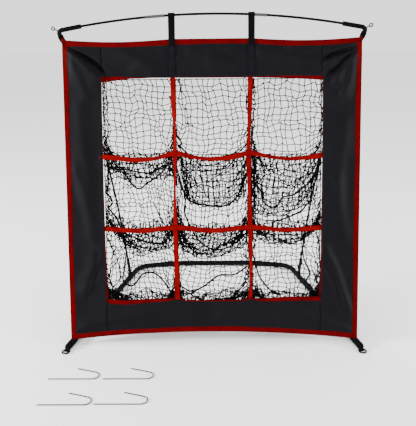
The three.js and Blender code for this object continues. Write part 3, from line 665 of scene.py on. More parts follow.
def outline_station(side, share, inset):
    """A point on the sheet's outline moved in by inset. share runs along the side, anticlockwise."""
    reach = HALF_WIDTH - inset
    if side == "bottom":
        x = -reach + 2 * reach * share
        return x, float(lower_edge(x)) + inset
    if side == "top":
        x = reach - 2 * reach * share
        return x, float(upper_edge(x)) - inset
    x = reach if side == "right" else -reach
    low = float(lower_edge(x)) + inset
    high = float(upper_edge(x)) - inset
    return x, (low + (high - low) * share if side == "right" else high - (high - low) * share)


def outer_tape():
    """Tape folded round the sheet's edge, a little puckered and of slightly uneven width."""
    parts = Parts()
    points, maps = [], []
    run = 0.0
    previous = None
    stations = []
    for side in EDGES:
        count = round((2 * HALF_WIDTH if side in ("bottom", "top") else SHEET_HEIGHT) / TAPE_STEP)
        stations += [(side, k / count) for k in range(count)]
    for side, share in stations:
        outer = np.array(outline_station(side, share, 0.0))
        if previous is not None:
            run += float(np.linalg.norm(outer - previous))
        previous = outer
        pucker = 0.35 * math.sin(run / 7.5) + 0.25 * math.sin(run / 3.1 + 1)
        ease = 0.9 * math.sin(run / 83) + 0.6 * math.sin(run / 37 + 2)
        for inset, behind in TAPE_SECTION:
            share_in = inset / TAPE_WIDTH
            x, t = outline_station(side, share, inset + ease * share_in)
            n = behind * (1 + 0.16 * pucker) - float(relief(x, t))
            points.append((x, n, t))
            maps.append((share_in, run * MM))
    faces = inside_out(ring_faces(len(stations), len(TAPE_SECTION), closed=True))
    parts.add(sheet_point(points), faces, maps)
    made = parts.make("outer_tape", "red_binding", "red_binding")
    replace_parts(made, "outer_binding")
    thread = Parts()
    for side in EDGES:
        shares = np.linspace(0.02, 0.98, 150)
        path = [outline_station(side, share, 18.5) for share in shares]
        path = np.array([(x, -float(relief(x, t)) - 1.75, t) for x, t in path])
        stitch_rows(thread, path)
    thread.make("outer_tape_stitches", "thread_red", "red_binding")


outer_tape()


def tape_lump(name, sign, size):
    """The tape's folded end, doubled over at a top corner and sewn down. Size is (wide, deep, high)."""
    rows, around = 12, 20
    points, maps = [], []
    for i in range(rows):
        v = i / (rows - 1)
        r = math.sin(math.pi * (0.04 + 0.92 * v)) ** 0.7
        for k in range(around):
            a = 2 * math.pi * k / around
            crease = 1 + 0.16 * math.sin(3 * a + 5 * v) + 0.1 * math.sin(5 * a - 9 * v)
            x = sign * (HALF_WIDTH - 8) - sign * size[0] * (v - 0.45)
            n = 0.6 + size[1] * r * crease * math.sin(a) / 2
            t = SHEET_HEIGHT + 0.5 + size[2] * r * crease * math.cos(a) / 2 - 7 * v * v
            points.append((x, n, t))
            maps.append((k / around, v * 0.02))
    faces = ring_faces(rows, around)
    if sign < 0:
        faces = inside_out(faces)
    parts = Parts()
    parts.add(sheet_point(points), faces, maps)
    parts.make(name, "red_binding", "red_binding")


tape_lump("corner_fold_left", -1, (22, 9, 17))
tape_lump("corner_fold_right", 1, (14, 7, 10))

# ---------------------------------------------------------------- tape round the opening

TAPE_BACK = 2.2  # it lies behind the cloth and shows past the cloth's edge
# Its section: depth, 0 at its free edge and 1 at the edge under the cloth, and distance behind its middle.
INNER_SECTION = [
    (0.0, 0.0), (0.0, -0.6), (0.06, -0.8), (0.5, -0.9), (1.0, -0.8),
    (1.0, 0.8), (0.5, 0.9), (0.06, 0.8), (0.0, 0.6),
]
INNER_COVER = 19  # how far it goes under the cloth
INNER_STEPS = 120


def show_top(x):
    """How much of the tape shows below the top panel's edge."""
    places = [-455, -400, -330, -250, 0, 170, 250, 350, 455]
    return 3.5 + np.interp(x, places, [19, 14, 2, -1.5, 0, 0, 3.5, 8, 13])


def show_bottom(x):
    """How much of the tape shows above the bottom panel's edge."""
    places = [-455, -420, -300, -190, -150, 0, 160, 220, 320, 455]
    return 4.5 + np.interp(x, places, [15, 15, 12, 7, 1, 1, 2, 9, 15, 14])


def show_side(t):
    """How much of the tape shows beside a side panel's edge."""
    return 2.5 + np.interp(t, [168, 300, 520, 900, 1099], [6, 3, 1, -1, 0])


def opening_station(side, share, depth):
    """A point of the tape round the opening: depth 0 is its free edge, 1 the edge under the cloth."""
    left = -OPENING_X + 2
    right = OPENING_X - 2
    low, high = OPENING_BOTTOM - 3, OPENING_TOP + 2
    outward = depth * INNER_COVER
    if side in ("bottom", "top"):
        x_in = left + (right - left) * (share if side == "bottom" else 1 - share)
        shown = show_bottom(x_in) if side == "bottom" else show_top(x_in)
        shown_side = np.interp(abs(x_in), [OPENING_X - 60, OPENING_X - 2], [0, 1])
        x = x_in + math.copysign(shown_side * (outward - (1 - depth) * 3), x_in)
        edge = opening_low(x_in) if side == "bottom" else opening_high(x_in)
        reach = outward - (1 - depth) * float(shown)
        return x, float(edge) - reach if side == "bottom" else float(edge) + reach
    t_in = low + (high - low) * (share if side == "right" else 1 - share)
    sign = 1 if side == "right" else -1
    x = float(opening_side(sign, t_in)) + sign * (outward - (1 - depth) * float(show_side(t_in)))
    near_low = np.interp(t_in, [low, low + 60], [1, 0])
    near_high = np.interp(t_in, [high - 60, high], [0, 1])
    shown_low, shown_high = float(show_bottom(x)), float(show_top(x))
    t = t_in - near_low * (outward - (1 - depth) * shown_low)
    return x, float(t + near_high * (outward - (1 - depth) * shown_high))


def inner_tape():
    parts = Parts()
    for side in EDGES:
        points, maps = [], []
        for share in np.linspace(0, 1, INNER_STEPS + 1):
            for depth, behind in INNER_SECTION:
                x, t = opening_station(side, share, depth)
                wave = 0.5 * math.sin(share * 61 + depth) + 0.4 * math.sin(share * 23)
                n = TAPE_BACK + behind + wave * (1 - depth) - float(relief(x, t))
                points.append((x, n, t))
                maps.append((depth, share * 0.93))
        faces = inside_out(ring_faces(INNER_STEPS + 1, len(INNER_SECTION)))
        parts.add(sheet_point(points), faces, maps)
    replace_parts(parts.make("inner_tape", "red_binding", "red_binding"), "inner_binding")


inner_tape()

# ---------------------------------------------------------------- webbing


def ribbon(parts, path, width, thickness, twist=0.0, face=(0, -1.0, 0), row=False):
    """Flat webbing along a path. twist turns it about its own line, and face is the way its front looks.
    The path is sheet points, or row-frame millimetres if row is set."""
    path = np.asarray(path, float)
    twist = np.broadcast_to(twist, len(path))
    front = np.broadcast_to(face, path.shape)
    ahead = np.gradient(path, axis=0)
    ahead /= np.linalg.norm(ahead, axis=1)[:, None]
    side = np.cross(ahead, front)
    side /= np.linalg.norm(side, axis=1)[:, None]
    normal = np.cross(side, ahead)
    run = np.concatenate([[0], np.cumsum(np.linalg.norm(np.diff(path, axis=0), axis=1))])
    h, w = thickness / 2, width / 2
    section = [(-w, 0), (-w + 0.5, -h), (-w * 0.5, -h * 1.1), (0, -h * 1.15)]
    section += [(w * 0.5, -h * 1.1), (w - 0.5, -h)]
    section += [(-a, -b) for a, b in section]
    points, maps = [], []
    for i in range(len(path)):
        c, s = math.cos(twist[i]), math.sin(twist[i])
        across = side[i] * c + normal[i] * s
        out = normal[i] * c - side[i] * s
        for a, b in section:
            points.append(path[i] + across * a - out * b)
            maps.append((0.5 + a / width, run[i] * MM))
    faces = ring_faces(len(path), len(section))
    points = np.array(points) if row else sheet_point(points)
    parts.add(points, faces, maps)


# The four webbings. A line is pairs of (place along it, distance to one side of its straight line). A turn is
# pairs of (place along it, radians turned about its own line). The upper one dips between the crossings.
UPPER_LINE = [
    (-470, -1), (-455, -2), (-390, -9), (-320, -16), (-240, -11), (-155, 10), (-90, -4), (-10, -14),
    (70, -9), (155, 9), (220, -3), (300, -15), (380, -12), (455, -2), (470, -1),
]
UPPER_TURN = [
    (-470, 0), (-330, 0.25), (-230, 0.75), (-160, 0.2), (-60, 0.85), (20, 0.5), (90, 0.1), (155, 0.1),
    (220, 0.75), (330, 0.8), (400, 0.4), (470, 0),
]
LOWER_LINE = [(-470, 2), (-455, 2), (-300, -7), (-155, 5), (0, -8), (155, 5), (300, -7), (455, 2), (470, 2)]
LOWER_TURN = [(-470, 0), (-300, 0.4), (-155, 0), (0, 0.35), (155, 0), (260, 0.7), (400, 0.3), (470, 0)]
LEFT_LINE = [
    (150, 4), (168, 3), (300, 1), (476, -2), (620, -3), (781, 0), (900, 0), (1020, -4), (1099, -5),
    (1116, -5),
]
LEFT_TURN = [
    (150, 0), (400, 0.1), (500, 0.5), (600, 0.95), (700, 1.05), (781, 0.55), (900, 1.0), (980, 0.4),
    (1116, 0),
]
RIGHT_LINE = [
    (150, 2), (168, 1), (300, 4), (476, 1), (620, -2), (781, -5), (900, -3), (1020, 1), (1099, 2),
    (1116, 2),
]
RIGHT_TURN = [
    (150, 0.2), (250, 0.9), (420, 0.5), (500, 0.2), (620, 0.8), (781, 0.3), (880, 0.9), (1000, 0.3),
    (1116, 0),
]
ACROSS_SPAN = (-470, 470)
UP_SPAN = (152, 1116)
WEBBING_POINTS = 190
TUCK = 3.6  # how far behind the sheet's plane the webbings' ends are


def table_at(table, at):
    """Reads a table of pairs along a smooth curve through them."""
    places, values = np.array(table, float).T
    smooth = spline(np.stack([places, values, 0 * values], -1), 6)
    return np.interp(at, smooth[:, 0], smooth[:, 1])


def tuck(at, low, high):
    """Webbing ends go behind the cloth and its tape, where they are sewn."""
    return TUCK * (1 - smooth_step(low - 4, low + 14, at) * (1 - smooth_step(high - 14, high + 4, at)))


def crossings(at, first, second):
    """1 where another webbing crosses, at the two given places, and 0 away from them."""
    return peak(at, first, 1, 16) + peak(at, second, 1, 16)


def webbing(way, name, path, angle):
    parts = Parts()
    ribbon(parts, np.stack(path, -1), WEBBING_WIDTH, WEBBING, twist=angle)
    made = parts.make(f"{way}_ribbon_{name}", "red_webbing", "red_webbing")
    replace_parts(made, f"{way}_webbing_{name}")


def webbing_grid():
    x = np.linspace(*ACROSS_SPAN, WEBBING_POINTS)
    crossing = crossings(x, -WEBBING_X, WEBBING_X)
    n = -1.2 + tuck(x, -OPENING_X, OPENING_X) - 1.1 * crossing
    for name, line, turn in (("upper", UPPER_LINE, UPPER_TURN), ("lower", LOWER_LINE, LOWER_TURN)):
        t = WEBBING_T[name] + table_at(line, x)
        angle = np.maximum(table_at(turn, x), 0) * (1 - np.clip(crossing, 0, 1))
        webbing("horizontal", name, (x, n, t), angle)
    t = np.linspace(*UP_SPAN, WEBBING_POINTS)
    crossing = crossings(t, *WEBBING_T.values())
    n = 0.2 + tuck(t, OPENING_BOTTOM, OPENING_TOP) + 0.7 * crossing
    for side, sign, line, turn in (("left", -1, LEFT_LINE, LEFT_TURN), ("right", 1, RIGHT_LINE, RIGHT_TURN)):
        x = sign * WEBBING_X + table_at(line, t)
        angle = np.maximum(table_at(turn, t), 0) * (1 - np.clip(crossing, 0, 1)) * -sign
        webbing("vertical", side, (x, n, t), angle)


webbing_grid()

STITCHES_FRONT = 3.2  # the crossings' stitches lie this far in front of the sheet's plane


def crossing_stitches():
    """A sewn box with a cross in it where two webbings cross."""
    parts = Parts()
    half = WEBBING_WIDTH / 2 - 3
    for sign, line in ((-1, LEFT_LINE), (1, RIGHT_LINE)):
        for name, height in WEBBING_T.items():
            x = sign * WEBBING_X + float(table_at(line, height))
            t = height + float(table_at(UPPER_LINE if name == "upper" else LOWER_LINE, x))
            turns = ((-half, -half), (half, -half), (half, half), (-half, half))
            corners = [(x + a, -STITCHES_FRONT, t + b) for a, b in turns]
            for a, b in ((0, 1), (1, 2), (2, 3), (3, 0), (0, 2), (1, 3)):
                stitch_rows(parts, [corners[a], corners[b]])
    parts.make("crossing_stitches", "thread_red", "red_webbing")


crossing_stitches()

STRIP_FRONT = 3.1
STRAP_FRONT = 4.6  # the strap's ends lie this far in front of and behind the sheet's plane


def hanging_strap(side, sign):
    """A strap that goes over the bow and is sewn to the sheet's top in front and behind. Its front end
    lies over a flatter strip that runs down the top panel."""
    bow = bow_height(STRAP_X)
    wrap = FERRULE + 2.6
    front = STRAP_FRONT
    path = [(-front, SHEET_HEIGHT - 30), (-front, SHEET_HEIGHT - 22)]
    path += [(-front - 0.4, SHEET_HEIGHT - 4), (-front - 0.8, SHEET_HEIGHT + 10), (-wrap, bow - 16)]
    for i in range(9):
        angle = math.pi * (1 - i / 8)
        path.append((wrap * math.cos(angle), bow + wrap * math.sin(angle)))
    path += [(wrap, bow - 16), (front + 0.6, SHEET_HEIGHT + 8)]
    path += [(front, SHEET_HEIGHT - 20), (front, SHEET_HEIGHT - 48)]
    line = spline([(sign * STRAP_X, n, t) for n, t in path], 4)
    ahead = np.gradient(line, axis=0)
    face = np.stack([0 * ahead[:, 0], -ahead[:, 2], ahead[:, 1]], -1)
    parts = Parts()
    ribbon(parts, line, STRAP_WIDTH + 2, 1.5, face=face)
    made = parts.make(f"strap_ribbon_{side}", "black_webbing", "black_webbing")
    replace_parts(made, f"hanging_strap_{side}")
    strip = Parts()
    low, high = OPENING_TOP + 6, SHEET_HEIGHT - 8
    down = [(sign * STRAP_X, -STRIP_FRONT, t) for t in np.linspace(low, high, 24)]
    ribbon(strip, down, STRAP_WIDTH, 1.3)
    strip.make(f"strap_strip_{side}", "sewn_webbing", "black_webbing")
    thread = Parts()
    half = STRAP_WIDTH / 2 - 3
    middle = sign * STRAP_X
    for edge in (-half, half):
        ends = [(middle + edge, -STRIP_FRONT - 0.8, t) for t in (low + 4, SHEET_HEIGHT - 32)]
        stitch_rows(thread, ends)
    for t, forward in ((low + 4, STRIP_FRONT), (SHEET_HEIGHT - 27, front), (SHEET_HEIGHT - 20, front)):
        stitch_rows(thread, [(middle - half, -forward - 0.9, t), (middle + half, -forward - 0.9, t)])
    thread.make(f"strap_stitches_{side}", "thread_black", "black_webbing")


for side, sign in SIDES:
    hanging_strap(side, sign)

# ---------------------------------------------------------------- net pockets

ROWS = {
    "top": (WEBBING_T["upper"], OPENING_TOP),
    "middle": (WEBBING_T["lower"], WEBBING_T["upper"]),
    "bottom": (OPENING_BOTTOM, WEBBING_T["lower"]),
}
COLUMNS = {
    "left": (-OPENING_X, -WEBBING_X),
    "centre": (-WEBBING_X, WEBBING_X),
    "right": (WEBBING_X, OPENING_X),
}

# For each pocket:
# - net squares across, and how many of them are spread evenly over the mouth's width. The rest bunch at its
#   corners.
# - net squares down, and how many of them are tied along the vertical sides. The rest hang free as a bag.
# - how steeply the bag's floor and its roof fall backwards.
# - how strongly its tie ropes draw it back, as a share of gravity.
POCKETS = {
    ("top", "left"): (18, 11, 27, 19, 1.5, 0.0, 0.5),
    ("top", "centre"): (16, 11, 36, 20, 9.0, 0.0, 0.12),
    ("top", "right"): (18, 11, 38, 20, 9.0, 0.0, 0.15),
    ("middle", "left"): (22, 18, 30, 20, 1.1, 1.9, 0.35),
    ("middle", "centre"): (21, 17, 30, 20, 1.5, 9.5, 0.4),
    ("middle", "right"): (20, 14, 26, 20, 1.0, 9.5, 0.4),
    ("bottom", "left"): (23, 18, 34, 22, 0.7, 1.2, 0.45),
    ("bottom", "centre"): (22, 17, 33, 22, 0.7, 1.4, 0.45),
    ("bottom", "right"): (22, 15, 35, 23, 0.7, 1.2, 0.45),
}
EVEN_SHARE = 0.93  # the share of a mouth's width that evenly spread squares may fill
LEFT_BUNCH = 0.62  # the share of the bunched squares that are at the left corner
STRAIGHT_SHARE = 0.56  # the share of a mouth's height down which the sides are tied at the full pitch
HEAP = 70  # how high the slack squares heap up on a bag's floor
NET_FRONT = 7  # the net hangs this far behind the webbing's plane
FLOOR_CLEARANCE = 22
RUMPLE = 2.8  # how far a knot strays from where it would hang
BELLY = 60  # how far the net starts behind the mouth, and how much further the slack part does
SLACK_BELLY = 90
START_SCATTER = 9
SETTLE_STEPS = 160
SHORTEN_ROUNDS = 10
DAMPING = 0.93
STEP_FALL = 1.1  # how far gravity moves a free knot in one step
CLOSEST = 0.42  # knots nearer than this share of their cord are eased apart


def edge_places(count, even, low, high):
    """Where the net's top row is tied: evenly in the middle and bunched at the two corners."""
    spare = count - even
    left, right = LEFT_BUNCH * spare, (1 - LEFT_BUNCH) * spare
    bunch = (high - low - min(even * MESH_PITCH, EVEN_SHARE * (high - low))) / 2
    stops = [0, left, count - right, count]
    return np.interp(np.arange(count + 1), stops, [low, low + bunch, high - bunch, high])


def spread(values, rows, columns):
    """A 3 by 3 grid of values blended over a grid of rows and columns."""
    x, y = np.meshgrid(np.linspace(0, 2, columns), np.linspace(0, 2, rows))
    left, top = np.minimum(x.astype(int), 1), np.minimum(y.astype(int), 1)
    a, b = (x - left)[..., None], (y - top)[..., None]
    upper = values[top, left] * (1 - a) * (1 - b) + values[top, left + 1] * a * (1 - b)
    return upper + values[top + 1, left] * (1 - a) * b + values[top + 1, left + 1] * a * b


def hang_net(row, column, seed):
    """Lets a slack rectangle of net, tied round a pocket's mouth, fall until its cords are taut."""
    across, even, down, tied, floor_slope, roof_slope, draw = POCKETS[row, column]
    low, high = ROWS[row][0] + 4, ROWS[row][1] - 6
    left, right = COLUMNS[column][0] + 6, COLUMNS[column][1] - 6
    random = np.random.default_rng(seed)

    # Where the net starts: its top row and sides on the mouth, and the slack part in a loop behind.
    x = edge_places(across, even, left, right)[None, :]
    k = np.arange(down + 1)[:, None]
    fall = np.interp(k, [0, STRAIGHT_SHARE * (high - low) / MESH_PITCH, tied], [0, STRAIGHT_SHARE, 1])
    loop = np.sin(np.pi * np.clip((k - tied) / (down - tied), 0, 1))
    t = high + (low - high) * fall - 0.4 * (down - tied) * MESH_PITCH * loop
    belly = np.sin(np.pi * fall) * (1 - 0.5 * np.abs(2 * (x - left) / (right - left) - 1) ** 2)
    n = NET_FRONT + BELLY * belly + SLACK_BELLY * loop
    p = np.stack(np.broadcast_arrays(x, n, t), -1)
    p[1:-1, 1:-1] += random.normal(0, START_SCATTER, p[1:-1, 1:-1].shape)
    held = np.zeros(p.shape[:2], bool)
    held[[0, -1], :] = True
    held[: tied + 1, [0, -1]] = True
    p[:, 0, 0], p[:, -1, 0] = left, right
    p[held, 1] = NET_FRONT
    weight = np.where(held, 0.0, 1.0)

    # What moves it: gravity, its tie ropes and a little unevenness.
    sway = spread(random.normal(0, 1, (3, 3, 2)), down + 1, across + 1)
    pull = np.zeros_like(p)
    pull[..., 0] = 0.25 * sway[..., 0]
    pull[..., 1] = math.sin(LEAN) + draw * math.cos(LEAN) + 0.22 * sway[..., 1]
    pull[..., 2] = -math.cos(LEAN) + draw * math.sin(LEAN)
    pull *= weight[..., None]
    heap = HEAP * random.random(p.shape[:2])
    heap[1:-1] = (heap[:-2] + heap[1:-1] + heap[2:]) / 3
    heap[:, 1:-1] = (heap[:, :-2] + 2 * heap[:, 1:-1] + heap[:, 2:]) / 4
    previous = p.copy()
    for _ in range(SETTLE_STEPS):
        speed = (p - previous) * DAMPING
        previous = p.copy()
        p = p + speed * weight[..., None] + pull * STEP_FALL
        for _ in range(SHORTEN_ROUNDS):
            for axis in (0, 1):
                for start in (0, 1):
                    shorten(p, weight, axis, start)
        p[..., 1] = np.maximum(p[..., 1], NET_FRONT)
        behind = p[..., 1] - NET_FRONT
        floor = low - floor_slope * behind + 7 + heap
        floor = np.maximum(floor, floor_above_ground(p))
        roof = high + 4 - roof_slope * behind
        within = np.clip(p[..., 2], floor, np.maximum(roof, floor + 4))
        p[..., 2] = np.where(held, p[..., 2], within)
        p[..., 0] = np.clip(p[..., 0], left, right)

    # Each knot strays a little, together with its neighbours.
    rumple = random.normal(0, 1, p.shape)
    neighbours = rumple[:-2, 1:-1] + rumple[2:, 1:-1] + rumple[1:-1, :-2] + rumple[1:-1, 2:]
    rumple[1:-1, 1:-1] += 0.8 * neighbours
    rumple[[0, -1], :] = 0
    rumple[:, [0, -1]] = 0
    p = p + RUMPLE * rumple * np.array([1.0, 0.6, 1.0])
    p[..., 1] = np.maximum(p[..., 1], NET_FRONT)
    p[..., 2] = np.maximum(p[..., 2], floor_above_ground(p))
    return p


def floor_above_ground(p):
    """The lowest t that keeps a net point clear of the ground."""
    return (FLOOR_CLEARANCE - SHEET_LIFT + p[..., 1] * math.sin(LEAN)) / math.cos(LEAN)


def shorten(p, weight, axis, start):
    """Pulls together every second pair of knots that are further apart than their cord lets them be, and
    eases apart those that have fallen in a heap."""
    p_line, w_line = np.swapaxes(p, 0, axis), np.swapaxes(weight, 0, axis)
    count = (len(p_line) - start) // 2 * 2
    a, b = p_line[start : start + count : 2], p_line[start + 1 : start + count : 2]
    wa, wb = w_line[start : start + count : 2], w_line[start + 1 : start + count : 2]
    apart = b - a
    length = np.maximum(np.linalg.norm(apart, axis=-1), 1e-6)
    too_long = np.maximum(length - MESH_PITCH, 0)
    too_short = np.minimum(length - CLOSEST * MESH_PITCH, 0) * 0.25
    total = np.maximum(wa + wb, 1e-6)
    move = apart * ((too_long + too_short) / (length * total))[..., None]
    a += move * wa[..., None]
    b -= move * wb[..., None]


CORD_STEPS = 3
CORD_SIDES = 5


def cord_tubes(parts, a, b, slack_way):
    """A cord between each pair of knots: a planar curve that bulges by as much as the cord is slack."""
    chord = b - a
    length = np.maximum(np.linalg.norm(chord, axis=1), 1e-3)[:, None]
    ahead = chord / length
    sag = np.sqrt(np.maximum(0.375 * (MESH_PITCH - length) * length, 0.4))
    way = slack_way - ahead * np.sum(slack_way * ahead, axis=1)[:, None]
    way /= np.maximum(np.linalg.norm(way, axis=1), 1e-6)[:, None]
    across = np.cross(ahead, way)
    count = len(a)
    points = np.zeros((count, CORD_STEPS + 1, CORD_SIDES, 3))
    for i in range(CORD_STEPS + 1):
        u = i / CORD_STEPS
        middle = a + chord * u + way * sag * 4 * u * (1 - u)
        tangent = ahead + way * sag / length * 4 * (1 - 2 * u)
        tangent /= np.linalg.norm(tangent, axis=1)[:, None]
        out = np.cross(across, tangent)
        for k in range(CORD_SIDES):
            angle = 2 * math.pi * k / CORD_SIDES
            points[:, i, k] = middle + CORD * (math.cos(angle) * across + math.sin(angle) * out)
    pattern = ring_faces(CORD_STEPS + 1, CORD_SIDES)
    each = (CORD_STEPS + 1) * CORD_SIDES
    faces = [tuple(v + c * each for v in face) for c in range(count) for face in pattern]
    parts.add(points.reshape(-1, 3), faces)


GOLDEN = (1 + 5**0.5) / 2
QUARTERS = [(s, t * GOLDEN) for s in (-1, 1) for t in (-1, 1)]
KNOT_POINTS = [(s, t, 0) for s, t in QUARTERS]
KNOT_POINTS += [(0, s, t) for s, t in QUARTERS]
KNOT_POINTS += [(t, 0, s) for s, t in QUARTERS]
KNOT_POINTS = np.array(KNOT_POINTS) / np.linalg.norm(KNOT_POINTS[0])


def hull_faces(points):
    """Triangles of the small convex solid on these points, facing out."""
    faces = []
    span = min(np.linalg.norm(points[0] - q) for q in points[1:]) * 1.01
    near = np.linalg.norm(points[:, None] - points[None], axis=-1) < span
    for i, j, k in itertools.combinations(range(len(points)), 3):
        if near[i, j] and near[j, k] and near[i, k]:
            out = np.dot(np.cross(points[j] - points[i], points[k] - points[i]), points[i]) > 0
            faces.append((i, j, k) if out else (i, k, j))
    return faces


KNOT_FACES = hull_faces(KNOT_POINTS)


def net_knots(parts, centres, random):
    """A knot at each crossing: a small lump stretched one way at random."""
    for centre in centres:
        stretch = KNOT * (1 + 0.3 * random.uniform(-1, 1, 3))
        turn = random.uniform(0, 2 * math.pi)
        c, s = math.cos(turn), math.sin(turn)
        x, y, z = (KNOT_POINTS * stretch).T
        parts.add(np.stack([x * c - z * s, y, x * s + z * c], -1) + centre, KNOT_FACES)


# Border ropes that lie loose over the nets: the net's row and column, the side pole that the rope's first end
# is tied to, if it is, at which share of the pole's height, and the rope's points on the sheet.
BORDER_ROPES = (
    ("top", "left", "left", 0.49, [
        (-420, 140, 720), (-385, 130, 722), (-315, 125, 708), (-270, 115, 705), (-240, 105, 720),
        (-215, 95, 737), (-195, 85, 740), (-178, 78, 725), (-165, 60, 690), (-160, 35, 640),
    ]),
    ("top", "left", None, 0, [
        (-395, 110, 735), (-372, 112, 690), (-340, 108, 648), (-312, 98, 640), (-285, 88, 662),
        (-252, 78, 682), (-215, 70, 712), (-190, 50, 742),
    ]),
    ("top", "centre", None, 0, [
        (-150, 30, 730), (-128, 60, 640), (-95, 90, 585), (-30, 110, 566), (45, 112, 560),
        (95, 95, 590), (125, 65, 650), (150, 30, 725),
    ]),
    ("top", "right", "right", 0.47, [
        (445, 170, 690), (415, 150, 652), (380, 140, 625), (355, 135, 606), (322, 125, 600),
        (300, 120, 594), (285, 115, 566), (260, 105, 555), (235, 100, 562), (215, 95, 585),
        (208, 85, 622), (192, 80, 645), (176, 68, 668), (178, 45, 715), (170, 25, 760),
    ]),
    ("middle", "left", None, 0, [
        (-440, 30, 735), (-446, 60, 660), (-458, 70, 625), (-438, 75, 603), (-434, 75, 575),
        (-448, 80, 556), (-420, 90, 515), (-392, 95, 455), (-330, 100, 420), (-250, 95, 398),
        (-200, 70, 420), (-170, 30, 462),
    ]),
    ("middle", "centre", None, 0, [
        (-140, 25, 690), (-118, 60, 600), (-122, 70, 540), (-100, 80, 480), (-60, 90, 410),
        (0, 95, 372), (60, 90, 380), (115, 70, 420), (145, 25, 460),
    ]),
    ("middle", "right", "right", 0.3, [
        (412, 150, 562), (392, 130, 540), (362, 115, 524), (335, 105, 514), (292, 90, 500),
        (262, 75, 494), (248, 55, 468), (215, 40, 440), (185, 25, 462),
    ]),
    ("bottom", "left", "left", 0.1, [
        (-400, 120, 232), (-360, 130, 205), (-310, 110, 262), (-260, 90, 270), (-215, 70, 236),
        (-175, 30, 186),
    ]),
    ("bottom", "centre", None, 0, [
        (-145, 25, 230), (-95, 60, 195), (-40, 80, 214), (25, 70, 262), (90, 60, 268), (145, 25, 310),
    ]),
    ("bottom", "right", "right", 0.1, [
        (408, 130, 300), (424, 110, 262), (404, 90, 232), (428, 70, 205), (416, 40, 182),
    ]),
    ("bottom", "right", None, 0, [
        (170, 25, 360), (188, 50, 290), (206, 70, 246), (246, 80, 196), (292, 60, 180),
    ]),
)
ROPE_SAG = 14  # midway between a pole and the net


def border_ropes(parts, row, column):
    for its_row, its_column, pole, share, places in BORDER_ROPES:
        if (its_row, its_column) != (row, column):
            continue
        path = sheet_point(places)
        if pole:
            tie = pole_point(-1 if pole == "left" else 1, share)
            sagging = (tie + path[0]) / 2 - np.array([0, 0, ROPE_SAG])
            path = np.concatenate([[tie, sagging], path])
        parts.add(*tube(spline(path, 7), ROPE))


def knotted_net(row, column, seed):
    """One pocket: its cords, knots and border ropes."""
    random = np.random.default_rng(seed + 100)
    net = hang_net(row, column, seed)
    world = sheet_point(net)
    parts = Parts()
    for a, b in ((world[:, :-1], world[:, 1:]), (world[:-1], world[1:])):
        a, b = a.reshape(-1, 3), b.reshape(-1, 3)
        way = random.normal(0, 0.55, a.shape) + np.array([0, 0.35, -0.8])
        cord_tubes(parts, a, b, way)
    net_knots(parts, world.reshape(-1, 3), random)
    border_ropes(parts, row, column)
    made = parts.make(f"net_{row}_{column}", "netting", "netting")
    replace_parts(made, f"net_pocket_{row}_{column}")


seed = 11
for row in ROWS:
    for column in COLUMNS:
        knotted_net(row, column, seed)
        seed += 7

# ---------------------------------------------------------------- webbing feet and corner loops

LEG_BEARING = math.atan(LEG_SPLAY)
FOOT_NOSE = -68.5  # along the leg, from where it crosses Y = 0
FOOT_BACK = 16
RING_BAR = -63
RING_SIDE = 11  # length of the ring's straight sides
RING_BOW = 11.5  # how far its rounded end goes past them
RING_HEIGHT = 4.2
RING_REACH = 14.4
RING_WIRE = 3.2  # radius


def leg_place(sign, p):
    """Row-frame millimetres for (across, along, up) at a leg."""
    p = np.asarray(p, float)
    across, along, up = p[..., 0], p[..., 1], p[..., 2]
    c, s = math.cos(LEG_BEARING), math.sin(LEG_BEARING)
    x = sign * LEG_X + across * c - sign * along * s
    y = SHIFT_Y + sign * across * s + along * c
    return np.stack([x, y, up], -1)


# The foot's outer skin, front to back: along the leg, half width, half height, middle height.
FOOT_STATIONS = [
    (FOOT_NOSE, 9.5, 1.4, 4.1), (FOOT_NOSE + 0.9, 10.8, 2.9, 4.1), (-66, 11.2, 3.7, 4.2),
    (-62, 11.3, 3.9, 4.4), (-59.5, 11.6, 4.3, 5.0), (-57, 12.4, 6.8, 7.6), (-54.5, 13.6, 10.6, 11.2),
    (-52, 14.1, 13.2, 13.7), (-46, 14.3, 13.9, 14.3), (-36, 14.2, 13.7, 14.1), (-24, 14.4, 13.9, 14.3),
    (-12, 14.2, 13.8, 14.1), (0, 14.4, 13.9, 14.3), (9, 14.2, 13.8, 14.2),
    (FOOT_BACK - 0.5, 14.4, 14.0, 14.3),
]
# The same for the hem that turns in at its back.
FOOT_INSIDE = [
    (FOOT_BACK, 13.9, 13.5, 14.2), (FOOT_BACK - 0.4, 13.0, 12.9, 14.1), (FOOT_BACK - 9, 12.8, 12.8, 14.0),
]
FOOT_AROUND = 32


